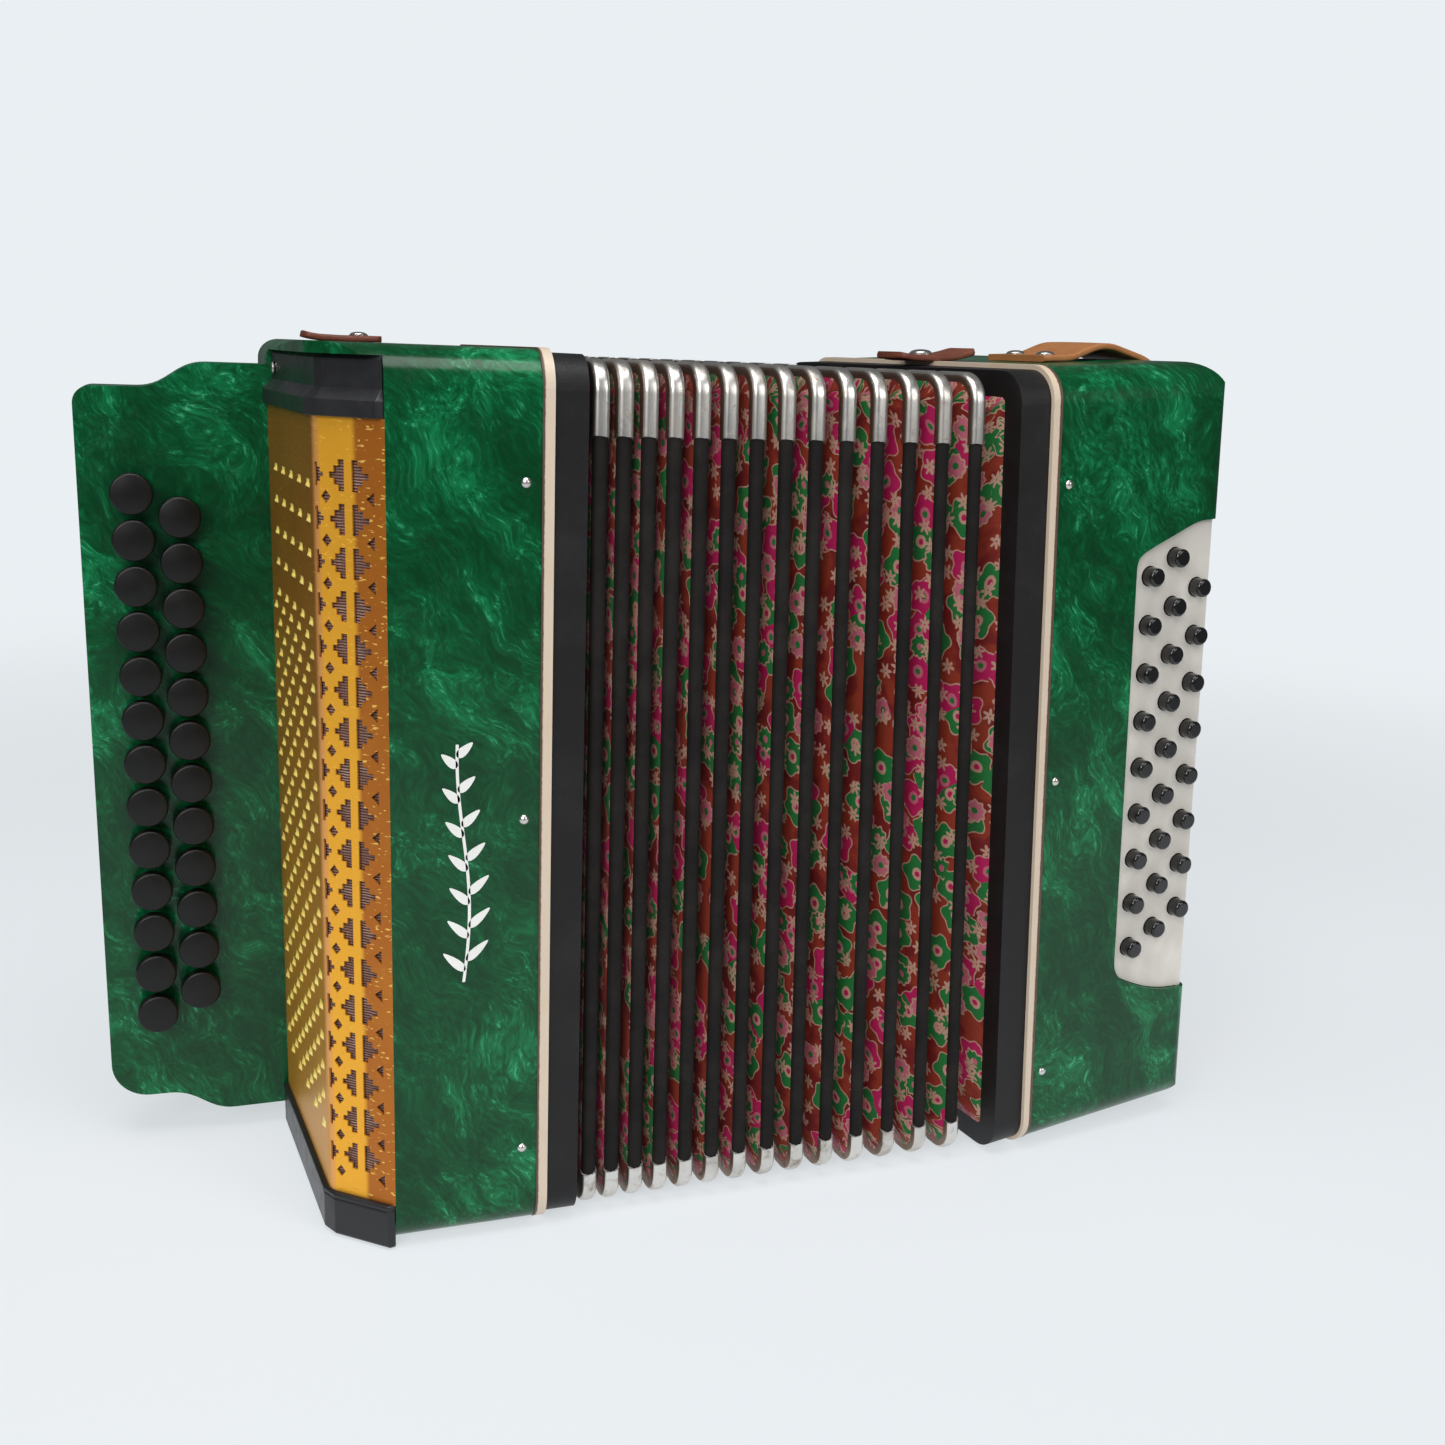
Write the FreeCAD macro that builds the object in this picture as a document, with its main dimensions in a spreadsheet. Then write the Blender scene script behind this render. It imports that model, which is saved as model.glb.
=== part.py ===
"""Two-row button accordion standing on its end, drawn partly open.

The treble case (fingerboard, grille and melody keys) is at -X, the bellows is in the middle and
the bass case (button panel and hand strap) is at +X. The front faces -Y and +Z is up. The origin
is the middle of the treble case's lower end face. Everything is in millimetres.

The bellows is drawn slightly fanned: each fold is turned a little further than the one before,
until the bass case stands at fan_yaw and fan_lean to the treble case.
"""
import FreeCAD, Part
import os
from math import cos, pi, radians, sin
import Sketcher

Vector = FreeCAD.Vector
Placement = FreeCAD.Placement
Rotation = FreeCAD.Rotation

# Driving dimensions: (alias, millimetres or degrees, what it is).
DRIVING = [
    ("case_height", 340.0, "length of both cases along Z"),
    ("case_depth", 180.0, "front to back"),
    ("case_corner", 14.0, "radius of the long edges of cases, frames and folds"),
    ("end_corner", 8.0, "radius of the treble case's upper left edge"),
    ("case_wall", 4.0, "thickness of the case walls"),
    ("treble_width", 54.6, "covered width of the treble case along X"),
    ("strip_width", 4.4, "width of the pale edge strips"),
    ("strip_proud", 0.6, "how far the edge strips stand out of the cases"),
    ("treble_frame_width", 12.6, "width of the treble bellows frame"),
    ("bass_frame_width", 14.7, "width of the bass bellows frame"),
    ("frame_inset", 1.2, "bellows frames lie this far inside the cases' outline"),
    ("frame_border", 24.0, "width of the frames' and folds' border around their opening"),
    ("fold_count", 14.0, "number of bellows folds"),
    ("fold_thickness", 6.4, "thickness of one fold's ridge"),
    ("fold_inset", 2.6, "folds lie this far inside the cases' outline"),
    ("first_gap", 1.3, "smallest clear gap, at the rear upper corner, before the first fold"),
    ("gap_step", 0.28, "growth of that gap from fold to fold"),
    ("last_gap", 8.2, "gap between the last fold and the bass frame"),
    ("fan_yaw", 9.4, "turn of the bass case about Z, degrees"),
    ("fan_lean", 3.1, "lean of the bass case's upper end towards the treble case, degrees"),
    ("bass_width", 90.0, "covered width of the bass case along X"),
    ("bass_top_corner", 16.0, "radius of the bass case's outer upper edge"),
    ("bass_foot_corner", 10.0, "radius of the bass case's outer lower edge"),
    ("bass_side_corner", 5.0, "radius of the bass case's outer upright edges"),
    ("wing_reach", 32.0, "how far the treble case's back part reaches past its covered width"),
    ("board_front", 115.0, "fingerboard face behind the case's front face"),
    ("board_width", 72.5, "fingerboard width along X"),
    ("board_thickness", 24.0, "fingerboard thickness"),
    ("board_plate", 4.0, "thickness of the fingerboard's face and back plates"),
    ("board_outer_margin", 20.0, "fingerboard end inside the case's end, outer part"),
    ("board_inner_margin", 10.0, "fingerboard end inside the case's end, inner part"),
    ("key_pitch", 18.2, "button spacing along a treble row"),
    ("outer_row", 52.5, "outer treble row, from the fingerboard's joint with the case"),
    ("inner_row", 35.0, "inner treble row, from the fingerboard's joint with the case"),
    ("key_disc", 16.2, "treble button diameter"),
    ("key_disc_thickness", 4.6, "treble button thickness at its rim"),
    ("key_rise", 10.0, "button top above the fingerboard"),
    ("key_stem", 4.0, "treble button stem diameter"),
    ("key_hole", 8.0, "stem hole diameter in the fingerboard"),
    ("key_bar", 2.0, "thickness of a key lever along Z"),
    ("axle", 2.5, "lever axle diameter"),
    ("axle_play", 0.2, "radial play of a lever on its axle"),
    ("pallet_gap", 0.3, "gap between a shut pallet and the action board"),
    ("grille_run", 22.7, "grille's slanted front part, measured along X"),
    ("grille_set_back", 19.5, "grille's slanted front part, measured along Y"),
    ("grille_sheet", 1.0, "grille sheet thickness"),
    ("grille_bend", 8.0, "grille bend radius"),
    ("cap_foot", 18.5, "height of the lower grille cap"),
    ("cap_rim", 6.0, "height of the upper cap's rim"),
    ("cap_block", 15.0, "height of the upper cap's block"),
    ("cap_proud", 1.8, "how far the caps stand out of the grille"),
    ("panel_left", 44.2, "bass panel's inner edge from the bass case's inner edge"),
    ("panel_foot", 58.0, "bass panel's lower edge above the bass case's end"),
    ("panel_head", 274.5, "bass panel's upper edge above the bass case's end"),
    ("panel_recess", 2.4, "bass panel's face behind the bass case's face"),
    ("panel_sheet", 2.5, "bass panel thickness"),
    ("panel_play", 0.2, "gap between the bass panel and the case"),
    ("panel_flange", 28.0, "depth of the bass panel's side flange"),
    ("bass_button", 8.0, "bass button diameter"),
    ("bass_button_hole", 8.8, "hole in the bass panel"),
    ("bass_button_rise", 5.8, "bass button end above the panel"),
    ("bass_pitch", 21.0, "bass button spacing along a row"),
    ("bass_row_gap", 13.5, "spacing of the bass rows"),
    ("bass_first_row", 9.3, "first bass row from the panel's inner edge"),
    ("strap_width", 38.0, "hand strap width"),
    ("strap_thickness", 2.6, "hand strap thickness"),
    ("strap_bow", 24.0, "hand strap's clear height over the bass case's side"),
    ("strap_rise", 6.0, "hand strap's clear height over the bass case's ends"),
    ("strap_centre", 64.0, "hand strap's centre line behind the front face"),
    ("strap_anchor", 35.5, "hand strap rivets from the bass case's inner edge"),
    ("tab_width", 22.0, "closing strap width"),
    ("tab_thickness", 2.6, "closing strap thickness"),
    ("tab_centre", 90.0, "closing strap's centre line behind the front face"),
    ("pin_head", 3.6, "case pin head diameter"),
    ("pin_shank", 2.0, "case pin shank diameter"),
    ("pin_edge", 5.6, "case pins from the edge strip"),
    ("pin_end", 46.0, "outer case pins from the cases' ends"),
]

TREBLE_OUTER_KEYS = 13
TREBLE_INNER_KEYS = 12
# Bass rows: (name, number of buttons, shift along the row as a share of the pitch).
BASS_ROWS = (("inner", 9, 0.0), ("middle", 9, 1.0 / 3.0), ("outer", 8, -1.0 / 3.0))

LEVER_DEPTH = 4.0          # key lever, front to back
LEVER_PLAY = 1.2           # room above and below a lever in the case's slot
PIVOT_REACH = 11.0         # lever axle from the treble case's left face
ARM_THICK = 3.0            # key arm along X
PALLET_BACK = 7.7          # pallet's back from the action board
PALLET_LONG = 24.0
PALLET_TALL = 15.0
OUTER_PALLET_Y = 45.0      # the outer keys' pallets behind the front face
INNER_PALLET_Y = 85.0      # the inner keys' pallets behind the front face
ACTION_BOARD = 6.0         # thickness of the action boards
TONE_HOLE = 8.0            # treble tone hole diameter
BASS_TONE_HOLE = 5.0
REED_MARGIN = 46.0         # reed blocks stop this far inside the case's ends
REED_WIDE = 22.0           # reed block at its action board
REED_NARROW = 12.0         # reed block at its free edge
REED_CHAMBERS = 12
REED_WALL = 4.0            # walls of the reed chambers
BASS_REED_REACH = 36.0     # how far the bass reed blocks reach into the bellows
BASS_REED_Y = 50.0         # bass reed blocks from the front and rear faces
SOUND_HOLE = 10.0          # sound holes in the bass case's outer side
SOUND_HOLES = 6
SOUND_PITCH = 22.0
PIN_DEPTH = 3.2            # case pin shanks in the wood
BUTTON_LENGTH = 20.0       # bass button from end to end
CLOTH_RIM = 6.0            # the bellows cloth lies this far inside the folds' outline

doc = FreeCAD.newDocument("button_accordion")
sheet = doc.addObject("Spreadsheet::Sheet", "Sizes")
for row, (alias, value, note) in enumerate(DRIVING, start=1):
    sheet.set("A%d" % row, str(value))
    sheet.setAlias("A%d" % row, alias)
    sheet.set("B%d" % row, note)
doc.recompute()

PARTS = []


def size(alias):
    """Return one driving dimension."""
    return float(sheet.get(alias))


def keep(obj):
    """Note an object as a sub-part to check and export under its label."""
    PARTS.append(obj)
    return obj


def feature(label, shape, placement=None):
    """Make a sub-part from a finished shape, placed after its shape is set.

    The shape's own place is kept, and placement moves it as a whole.
    """
    obj = doc.addObject("Part::Feature", label)
    obj.Label = label
    obj.Shape = shape
    if placement is not None:
        obj.Placement = placement.multiply(shape.Placement)
    return keep(obj)


# --------------------------------------------------------------- places

def fold_gaps():
    """Return the clear gaps along X at the rear upper corner, from treble frame to bass frame."""
    folds = int(size("fold_count"))
    return [size("first_gap") + size("gap_step") * i for i in range(folds)] + [size("last_gap")]


def station(share, corner_x):
    """Return the pose of a slice of the bellows.

    share is how much of the fan the slice has turned through, and corner_x is where its rear
    upper corner lies. The pose's own origin is the slice's front lower left corner.
    """
    yaw = radians(size("fan_yaw")) * share
    lean = radians(size("fan_lean")) * share
    swing = size("case_depth") * sin(yaw) + size("case_height") * sin(lean) * cos(yaw)
    base = Vector(corner_x + swing, -size("case_depth") / 2, 0)
    return Placement(base, Rotation(size("fan_yaw") * share, -size("fan_lean") * share, 0))


def treble_edge():
    """Return X of the treble case's joint with its bellows frame."""
    return size("treble_width") / 2 + size("strip_width")


def bellows_start():
    """Return X where the treble bellows frame ends."""
    return treble_edge() + size("treble_frame_width")


def fold_poses():
    """Return the poses of the folds, left to right."""
    gaps = fold_gaps()
    total = sum(gaps)
    poses = []
    used = 0.0
    for i, gap in enumerate(gaps[:-1]):
        used += gap
        corner = bellows_start() + i * size("fold_thickness") + used
        poses.append(station(used / total, corner))
    return poses


def gusset_poses(thickness):
    """Return the poses of thin slices in the middle of the gaps, left to right."""
    gaps = fold_gaps()
    total = sum(gaps)
    poses = []
    used = 0.0
    for i, gap in enumerate(gaps):
        corner = bellows_start() + i * size("fold_thickness") + used + (gap - thickness) / 2
        poses.append(station((used + gap / 2) / total, corner))
        used += gap
    return poses


def bass_pose(offset=0.0):
    """Return the bass side's pose, offset along its own X from its bellows frame's inner face."""
    corner = bellows_start() + size("fold_count") * size("fold_thickness") + sum(fold_gaps())
    return station(1.0, corner).multiply(Placement(Vector(offset, 0, 0), Rotation()))


def treble_pose(x, y=0.0):
    """Return an unturned pose at X, with Y measured back from the front face."""
    return Placement(Vector(x, y - size("case_depth") / 2, 0), Rotation())


# ------------------------------------------------------- rounded sections

def origin_plane(body, role):
    """Return one of a body's own origin planes."""
    return [plane for plane in body.Origin.OriginFeatures if plane.Role == role][0]


def add_rounded_rectangle(sketch, tag, width, height, radius):
    """Draw a rounded rectangle about the sketch's origin.

    width, height and radius are (expression, present value): the value draws it and the
    expression drives it.
    """
    half_w, half_h, r = width[1] / 2, height[1] / 2, radius[1]
    corners = [(half_w - r, half_h - r, 0), (-half_w + r, half_h - r, 1),
               (-half_w + r, -half_h + r, 2), (half_w - r, -half_h + r, 3)]
    arcs = []
    for cx, cy, quarter in corners:
        circle = Part.Circle(Vector(cx, cy, 0), Vector(0, 0, 1), r)
        arc = Part.ArcOfCircle(circle, quarter * pi / 2, (quarter + 1) * pi / 2)
        arcs.append(sketch.addGeometry(arc, False))
    lines = []
    for i in range(4):
        start = sketch.getPoint(arcs[i], 2)
        finish = sketch.getPoint(arcs[(i + 1) % 4], 1)
        lines.append(sketch.addGeometry(Part.LineSegment(start, finish), False))
    for i in range(4):
        sketch.addConstraint(Sketcher.Constraint("Tangent", arcs[i], 2, lines[i], 1))
        sketch.addConstraint(Sketcher.Constraint("Tangent", lines[i], 2, arcs[(i + 1) % 4], 1))
    for i in range(1, 4):
        sketch.addConstraint(Sketcher.Constraint("Equal", arcs[0], arcs[i]))
    sketch.addConstraint(Sketcher.Constraint("Horizontal", lines[0]))
    sketch.addConstraint(Sketcher.Constraint("Vertical", lines[1]))
    across = "(%s) / 2" % width[0]
    upward = "(%s) / 2" % height[0]
    named = [
        ("radius", Sketcher.Constraint("Radius", arcs[0], r), radius[0]),
        ("right", Sketcher.Constraint("DistanceX", -1, 1, lines[3], 1, half_w), across),
        ("left", Sketcher.Constraint("DistanceX", lines[1], 1, -1, 1, half_w), across),
        ("top", Sketcher.Constraint("DistanceY", -1, 1, lines[0], 1, half_h), upward),
        ("foot", Sketcher.Constraint("DistanceY", lines[2], 1, -1, 1, half_h), upward),
    ]
    for name, constraint, expression in named:
        index = sketch.addConstraint(constraint)
        sketch.renameConstraint(index, tag + "_" + name)
        sketch.setExpression("Constraints." + tag + "_" + name, expression)


def ring_body(label, length, outer, inner, pose, centre):
    """Make a rounded ring: two rounded rectangles padded along X.

    outer and inner are a width, a height and a radius, each as (expression, present value).
    length is an expression, pose is the slice's pose and centre is the middle of its section
    from that pose.
    """
    body = doc.addObject("PartDesign::Body", label)
    body.Label = label
    sketch = body.newObject("Sketcher::SketchObject", label + "_section")
    sketch.AttachmentSupport = (origin_plane(body, "YZ_Plane"), [""])
    sketch.MapMode = "FlatFace"
    add_rounded_rectangle(sketch, "outer", *outer)
    add_rounded_rectangle(sketch, "inner", *inner)
    pad = body.newObject("PartDesign::Pad", label + "_pad")
    pad.Profile = sketch
    pad.setExpression("Length", length)
    sketch.Visibility = False
    body.Placement = pose.multiply(Placement(centre, Rotation()))
    return keep(body)


def inset_by(alias, corner=None):
    """Return the case's section moved inward all round by one driving dimension.

    It gives width, height and corner radius, each as (expression, present value). corner is an
    (expression, present value) of its own, or the radius follows the case's corner.
    """
    inset = size(alias)
    width = ("Sizes.case_depth - 2 * Sizes." + alias, size("case_depth") - 2 * inset)
    height = ("Sizes.case_height - 2 * Sizes." + alias, size("case_height") - 2 * inset)
    following = ("Sizes.case_corner - Sizes." + alias, size("case_corner") - inset)
    return width, height, corner or following


def opening(alias):
    """Return a section's inner opening inside a border of one driving dimension."""
    return inset_by(alias, ("Sizes.case_corner / 2", size("case_corner") / 2))


def section_centre(lift=0.0):
    """Return the middle of the case's section from its front lower corner."""
    return Vector(0, size("case_depth") / 2, size("case_height") / 2 + lift)


def edge_strip(label, pose):
    """Make a pale edge strip, proud of the case except at the end it stands on."""
    proud = size("strip_proud")
    outer = (("Sizes.case_depth + 2 * Sizes.strip_proud", size("case_depth") + 2 * proud),
             ("Sizes.case_height + Sizes.strip_proud", size("case_height") + proud),
             ("Sizes.case_corner", size("case_corner")))
    return ring_body(label, "Sizes.strip_width", outer, opening("case_wall"), pose,
                     section_centre(proud / 2))


def bellows_frame(label, width, pose):
    """Make the dark wooden frame that joins the bellows to a case."""
    return ring_body(label, width, inset_by("frame_inset"), opening("frame_border"), pose,
                     section_centre())


def bellows_folds():
    """Make the folds: the taped ridges of the bellows, each a stiff ring."""
    for number, pose in enumerate(fold_poses(), start=1):
        ring_body("bellows_fold_%02d" % number, "Sizes.fold_thickness", inset_by("fold_inset"),
                  opening("frame_border"), pose, section_centre())


def rounded_plate(x0, x1, border, radius):
    """Return a plate across the section from x0 to x1, its corners rounded."""
    y0, z0 = border, border
    y1, z1 = size("case_depth") - border, size("case_height") - border
    box = Part.makeBox(x1 - x0, y1 - y0, z1 - z0, Vector(x0, y0, z0))
    along = [edge for edge in box.Edges if abs(edge.tangentAt(0).x) > 0.9]
    return box.makeFillet(radius, along)


def bellows_cloth():
    """Make the gussets between the folds as thin rings, one in the middle of each gap."""
    rings = []
    cloth = 0.35 * size("first_gap")
    back = size("fold_inset") + CLOTH_RIM
    for pose in gusset_poses(cloth):
        plate = rounded_plate(0, cloth, back, size("case_corner") / 2)
        hole = rounded_plate(-1, cloth + 1, size("frame_border"), size("case_corner") / 2)
        ring = plate.cut(hole)
        ring.Placement = pose
        rings.append(ring)
    feature("bellows_cloth", Part.makeCompound(rings))


# --------------------------------------------------------------- outlines

def polygon_face(points, z=0.0):
    """Return a face in the XY plane from (x, y) points."""
    wire = Part.makePolygon([Vector(x, y, z) for x, y in points] + [Vector(*points[0], z)])
    return Part.Face(wire)


def upright_face(edges):
    """Return a face from edges drawn in the XZ plane."""
    return Part.Face(Part.Wire(Part.__sortEdges__(edges)))


def flat_line(a, b):
    """Return a straight edge between two (x, z) points of the XZ plane."""
    return Part.makeLine(Vector(a[0], 0, a[1]), Vector(b[0], 0, b[1]))


def flat_curve(points, start_slope, end_slope):
    """Return a smooth edge through (x, z) points with given directions at its ends."""
    curve = Part.BSplineCurve()
    curve.interpolate(Points=[Vector(x, 0, z) for x, z in points],
                      InitialTangent=Vector(start_slope[0], 0, start_slope[1]),
                      FinalTangent=Vector(end_slope[0], 0, end_slope[1]))
    return curve.toShape()


def grille_path(offset):
    """Return the edges of the grille's plan, moved inward by offset, and its two ends.

    It runs from the treble case's front edge, back along the slant, round the bend and along the
    side to the fingerboard's face. Y is measured from the front face.
    """
    left = -size("treble_width") / 2
    slant_x, slant_y = size("grille_run"), size("grille_set_back")
    slant = (slant_x ** 2 + slant_y ** 2) ** 0.5
    nx, ny = slant_y / slant, slant_x / slant
    side_top = -size("treble_width") / 2 - size("wing_reach")
    start = Vector(left + nx * offset, ny * offset, 0)
    bend = Vector(left - slant_x, slant_y, 0)
    finish = Vector(side_top, size("board_front"), 0)
    side = finish.sub(bend)
    side.normalize()
    side_normal = Vector(side.y, -side.x, 0)
    slant_line = Vector(-slant_x, slant_y, 0).normalize()
    a = start
    d = finish + side_normal * offset
    gap = d - a
    cross = slant_line.x * side.y - slant_line.y * side.x
    reach = (gap.x * side.y - gap.y * side.x) / cross
    corner = a + slant_line * reach
    radius = size("grille_bend") - offset
    turn = slant_line.getAngle(side)
    setback = radius * (sin(turn / 2) / cos(turn / 2))
    b = corner - slant_line * setback
    c = corner + side * setback
    middle = corner + (side - slant_line).normalize() * (radius / cos(turn / 2) - radius)
    return [Part.makeLine(a, b), Part.Arc(b, middle, c).toShape(), Part.makeLine(c, d)], a, d


def grille_band(outer_offset, inner_offset, z0, z1):
    """Return a bent sheet between two inward offsets of the grille's plan.

    Its ends are trimmed flush with the treble case's side and the fingerboard's face.
    """
    outer, a, d = grille_path(outer_offset)
    inner, b, c = grille_path(inner_offset)
    closing = [Part.makeLine(d, c), Part.makeLine(b, a)]
    wire = Part.Wire(Part.__sortEdges__(outer + inner + closing))
    band = Part.Face(wire).extrude(Vector(0, 0, z1 - z0))
    band.translate(Vector(0, 0, z0))
    reach = 2 * size("wing_reach")
    room = Part.makeBox(reach, reach + size("board_front"), z1 - z0,
                        Vector(-size("treble_width") / 2 - reach, -reach, z0))
    return band.common(room)


def cap_prism(offset, z0, z1):
    """Return the space between the grille's plan and the treble case's side, as a prism."""
    edge = -size("treble_width") / 2
    reach = 10.0
    path, a, d = grille_path(offset)
    corners = [d, Vector(edge + reach, d.y, 0), Vector(edge + reach, a.y, 0), a]
    closing = [Part.makeLine(corners[i], corners[i + 1]) for i in range(3)]
    prism = Part.Face(Part.Wire(Part.__sortEdges__(path + closing))).extrude(Vector(0, 0, z1 - z0))
    prism.translate(Vector(0, 0, z0))
    left = edge - 2 * size("wing_reach")
    room = Part.makeBox(edge - left, size("board_front"), z1 - z0, Vector(left, 0, z0))
    return prism.common(room)


def grille_top():
    """Return Z of the grille's upper edge."""
    return size("case_height") - size("case_wall") - size("cap_block") - size("cap_rim")


# ------------------------------------------------------------ treble side

def upper_left_corner(left):
    """Return what is cut away to round the treble case's upper left edge, at X left."""
    radius, height, depth = size("end_corner"), size("case_height"), size("case_depth")
    block = Part.makeBox(radius + 1, depth + 2, radius + 1, Vector(left - 1, -1, height - radius))
    roll = Part.makeCylinder(radius, depth + 4, Vector(left + radius, -2, height - radius),
                             Vector(0, 1, 0))
    return block.cut(roll)


def treble_case():
    """Make the treble case: a shell open to the bellows and, behind the grille, to the left."""
    left = -size("treble_width") / 2 - size("wing_reach")
    right = size("treble_width") / 2
    wall = size("case_wall")
    board_front = size("board_front")
    shell = rounded_plate(left, right, 0, size("case_corner"))
    inside = rounded_plate(left + wall, right + 1, wall, size("case_corner") - wall)
    shell = shell.cut(inside)
    edge = -size("treble_width") / 2
    tall = size("case_height") - wall
    grille_room = Part.makeBox(edge - left + 1, board_front + 1, tall + 1, Vector(left - 1, -1, -1))
    shell = shell.cut(grille_room)
    beyond = Part.makeBox(edge - left + 1, board_front, wall + 2, Vector(left - 1, 0, tall - 1))
    beyond = beyond.cut(cap_prism(-size("cap_proud"), tall - 2, tall + wall + 2))
    shell = shell.cut(beyond)
    shell = shell.cut(upper_left_corner(left))
    slot_low = first_key_z() - size("key_pitch")
    slot_high = size("case_height") - slot_low
    slot_depth = LEVER_DEPTH + 2 * LEVER_PLAY
    slot = Part.makeBox(wall + 2, slot_depth, slot_high - slot_low,
                        Vector(left - 1, lever_y() - slot_depth / 2, slot_low))
    shell = shell.cut(slot)
    for hole in pin_shanks(right - size("pin_edge"), size("case_depth")):
        shell = shell.cut(hole)
    feature("treble_case", shell, treble_pose(0))


def fingerboard():
    """Make the fingerboard: a hollow board with an ogee at each end and a hole for each stem."""
    joint = -size("treble_width") / 2 - size("wing_reach")
    outer = joint - size("board_width")
    plate = size("board_plate")
    front, thick = size("board_front"), size("board_thickness")
    solid = board_outline(outer, joint, 0.0).extrude(Vector(0, thick, 0))
    room = board_outline(outer + plate, joint + 1, plate).extrude(Vector(0, thick - 2 * plate, 0))
    room.translate(Vector(0, plate, 0))
    shell = solid.cut(room)
    shell = shell.cut(board_bevel(outer, joint))
    for x, z in key_places():
        hole = Part.makeCylinder(size("key_hole") / 2, plate + 2, Vector(x, -1, z), Vector(0, 1, 0))
        shell = shell.cut(hole)
    feature("fingerboard", shell, treble_pose(0, front))


def board_bevel(outer, joint):
    """Return the thin wedge planed off the fingerboard's outer facet."""
    seam = joint - (size("outer_row") + size("inner_row")) / 2
    drop = 1.4
    face = polygon_face([(seam, 0), (outer - 1, 0), (outer - 1, drop)])
    face.translate(Vector(0, 0, -1))
    wedge = face.extrude(Vector(0, 0, size("case_height") + 2))
    return wedge


def board_outline(outer, joint, inset):
    """Return the fingerboard's outline in XZ: lower at the outside, stepped by an ogee."""
    height = size("case_height")
    low = size("board_outer_margin") + inset
    high = size("board_inner_margin") + inset
    top_round, foot_round = 7.0, 15.0
    step_out = joint - size("outer_row") + 3.0
    step_in = step_out + 27.0
    ease = (1.0, 0.0)
    foot_arc = quarter(outer + foot_round, low + foot_round, foot_round, 2)
    top_arc = quarter(outer + top_round, height - low - top_round, top_round, 1)
    edges = [
        flat_line((outer, low + foot_round), (outer, height - low - top_round)),
        top_arc, foot_arc,
        flat_line((outer + top_round, height - low), (step_out, height - low)),
        flat_curve([(step_out, height - low), (step_in, height - high)], ease, ease),
        flat_line((step_in, height - high), (joint, height - high)),
        flat_line((joint, height - high), (joint, high)),
        flat_line((joint, high), (step_in, high)),
        flat_curve([(step_out, low), (step_in, high)], ease, ease),
        flat_line((step_out, low), (outer + foot_round, low)),
    ]
    return upright_face(edges)


def quarter(x, z, radius, number):
    """Return a quarter circle in XZ about (x, z); number 0 is up and right, then anticlockwise."""
    points = []
    for part in (0.0, 0.5, 1.0):
        angle = (number + part) * pi / 2
        points.append(Vector(x + radius * cos(angle), 0, z + radius * sin(angle)))
    return Part.Arc(*points).toShape()


def lever_y():
    """Return the levers' Y behind the front face: the middle of the fingerboard's hollow."""
    return size("board_front") + size("board_thickness") / 2


def pivot_x():
    """Return X of the lever axle, inside the treble case's left wall."""
    return -size("treble_width") / 2 - size("wing_reach") + PIVOT_REACH


def action_x():
    """Return X of the action board's outer face, which the pallets shut on."""
    return -size("treble_width") / 2 + 2.0


def first_key_z():
    """Return Z of the lowest outer button, so that the rows are centred on the case."""
    return size("case_height") / 2 - size("key_pitch") * (TREBLE_OUTER_KEYS - 1) / 2


def key_places():
    """Return (x, z) of each treble button: the outer row from the top, then the inner row."""
    joint = -size("treble_width") / 2 - size("wing_reach")
    pitch = size("key_pitch")
    top = first_key_z() + pitch * (TREBLE_OUTER_KEYS - 1)
    outer = [(joint - size("outer_row"), top - pitch * i) for i in range(TREBLE_OUTER_KEYS)]
    inner = [(joint - size("inner_row"), top - pitch * (i + 0.5))
             for i in range(TREBLE_INNER_KEYS)]
    return outer + inner


def button_disc(diameter, thickness, dome):
    """Return a button with a rounded rim and a domed top, its top pointing to -Y."""
    r = diameter / 2
    ball_radius = (r * r + dome * dome) / (2 * dome)
    cylinder = Part.makeCylinder(r, thickness + dome, Vector(0, 0, 0), Vector(0, -1, 0))
    ball = Part.makeSphere(ball_radius)
    ball.translate(Vector(0, -(thickness + dome) + ball_radius, 0))
    disc = cylinder.common(ball)
    rim = [edge for edge in disc.Edges
           if edge.Closed and edge.Length > 3 * diameter and edge.Vertexes[0].Y < -0.5 * thickness]
    return disc.makeFillet(1.0, rim)


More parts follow.
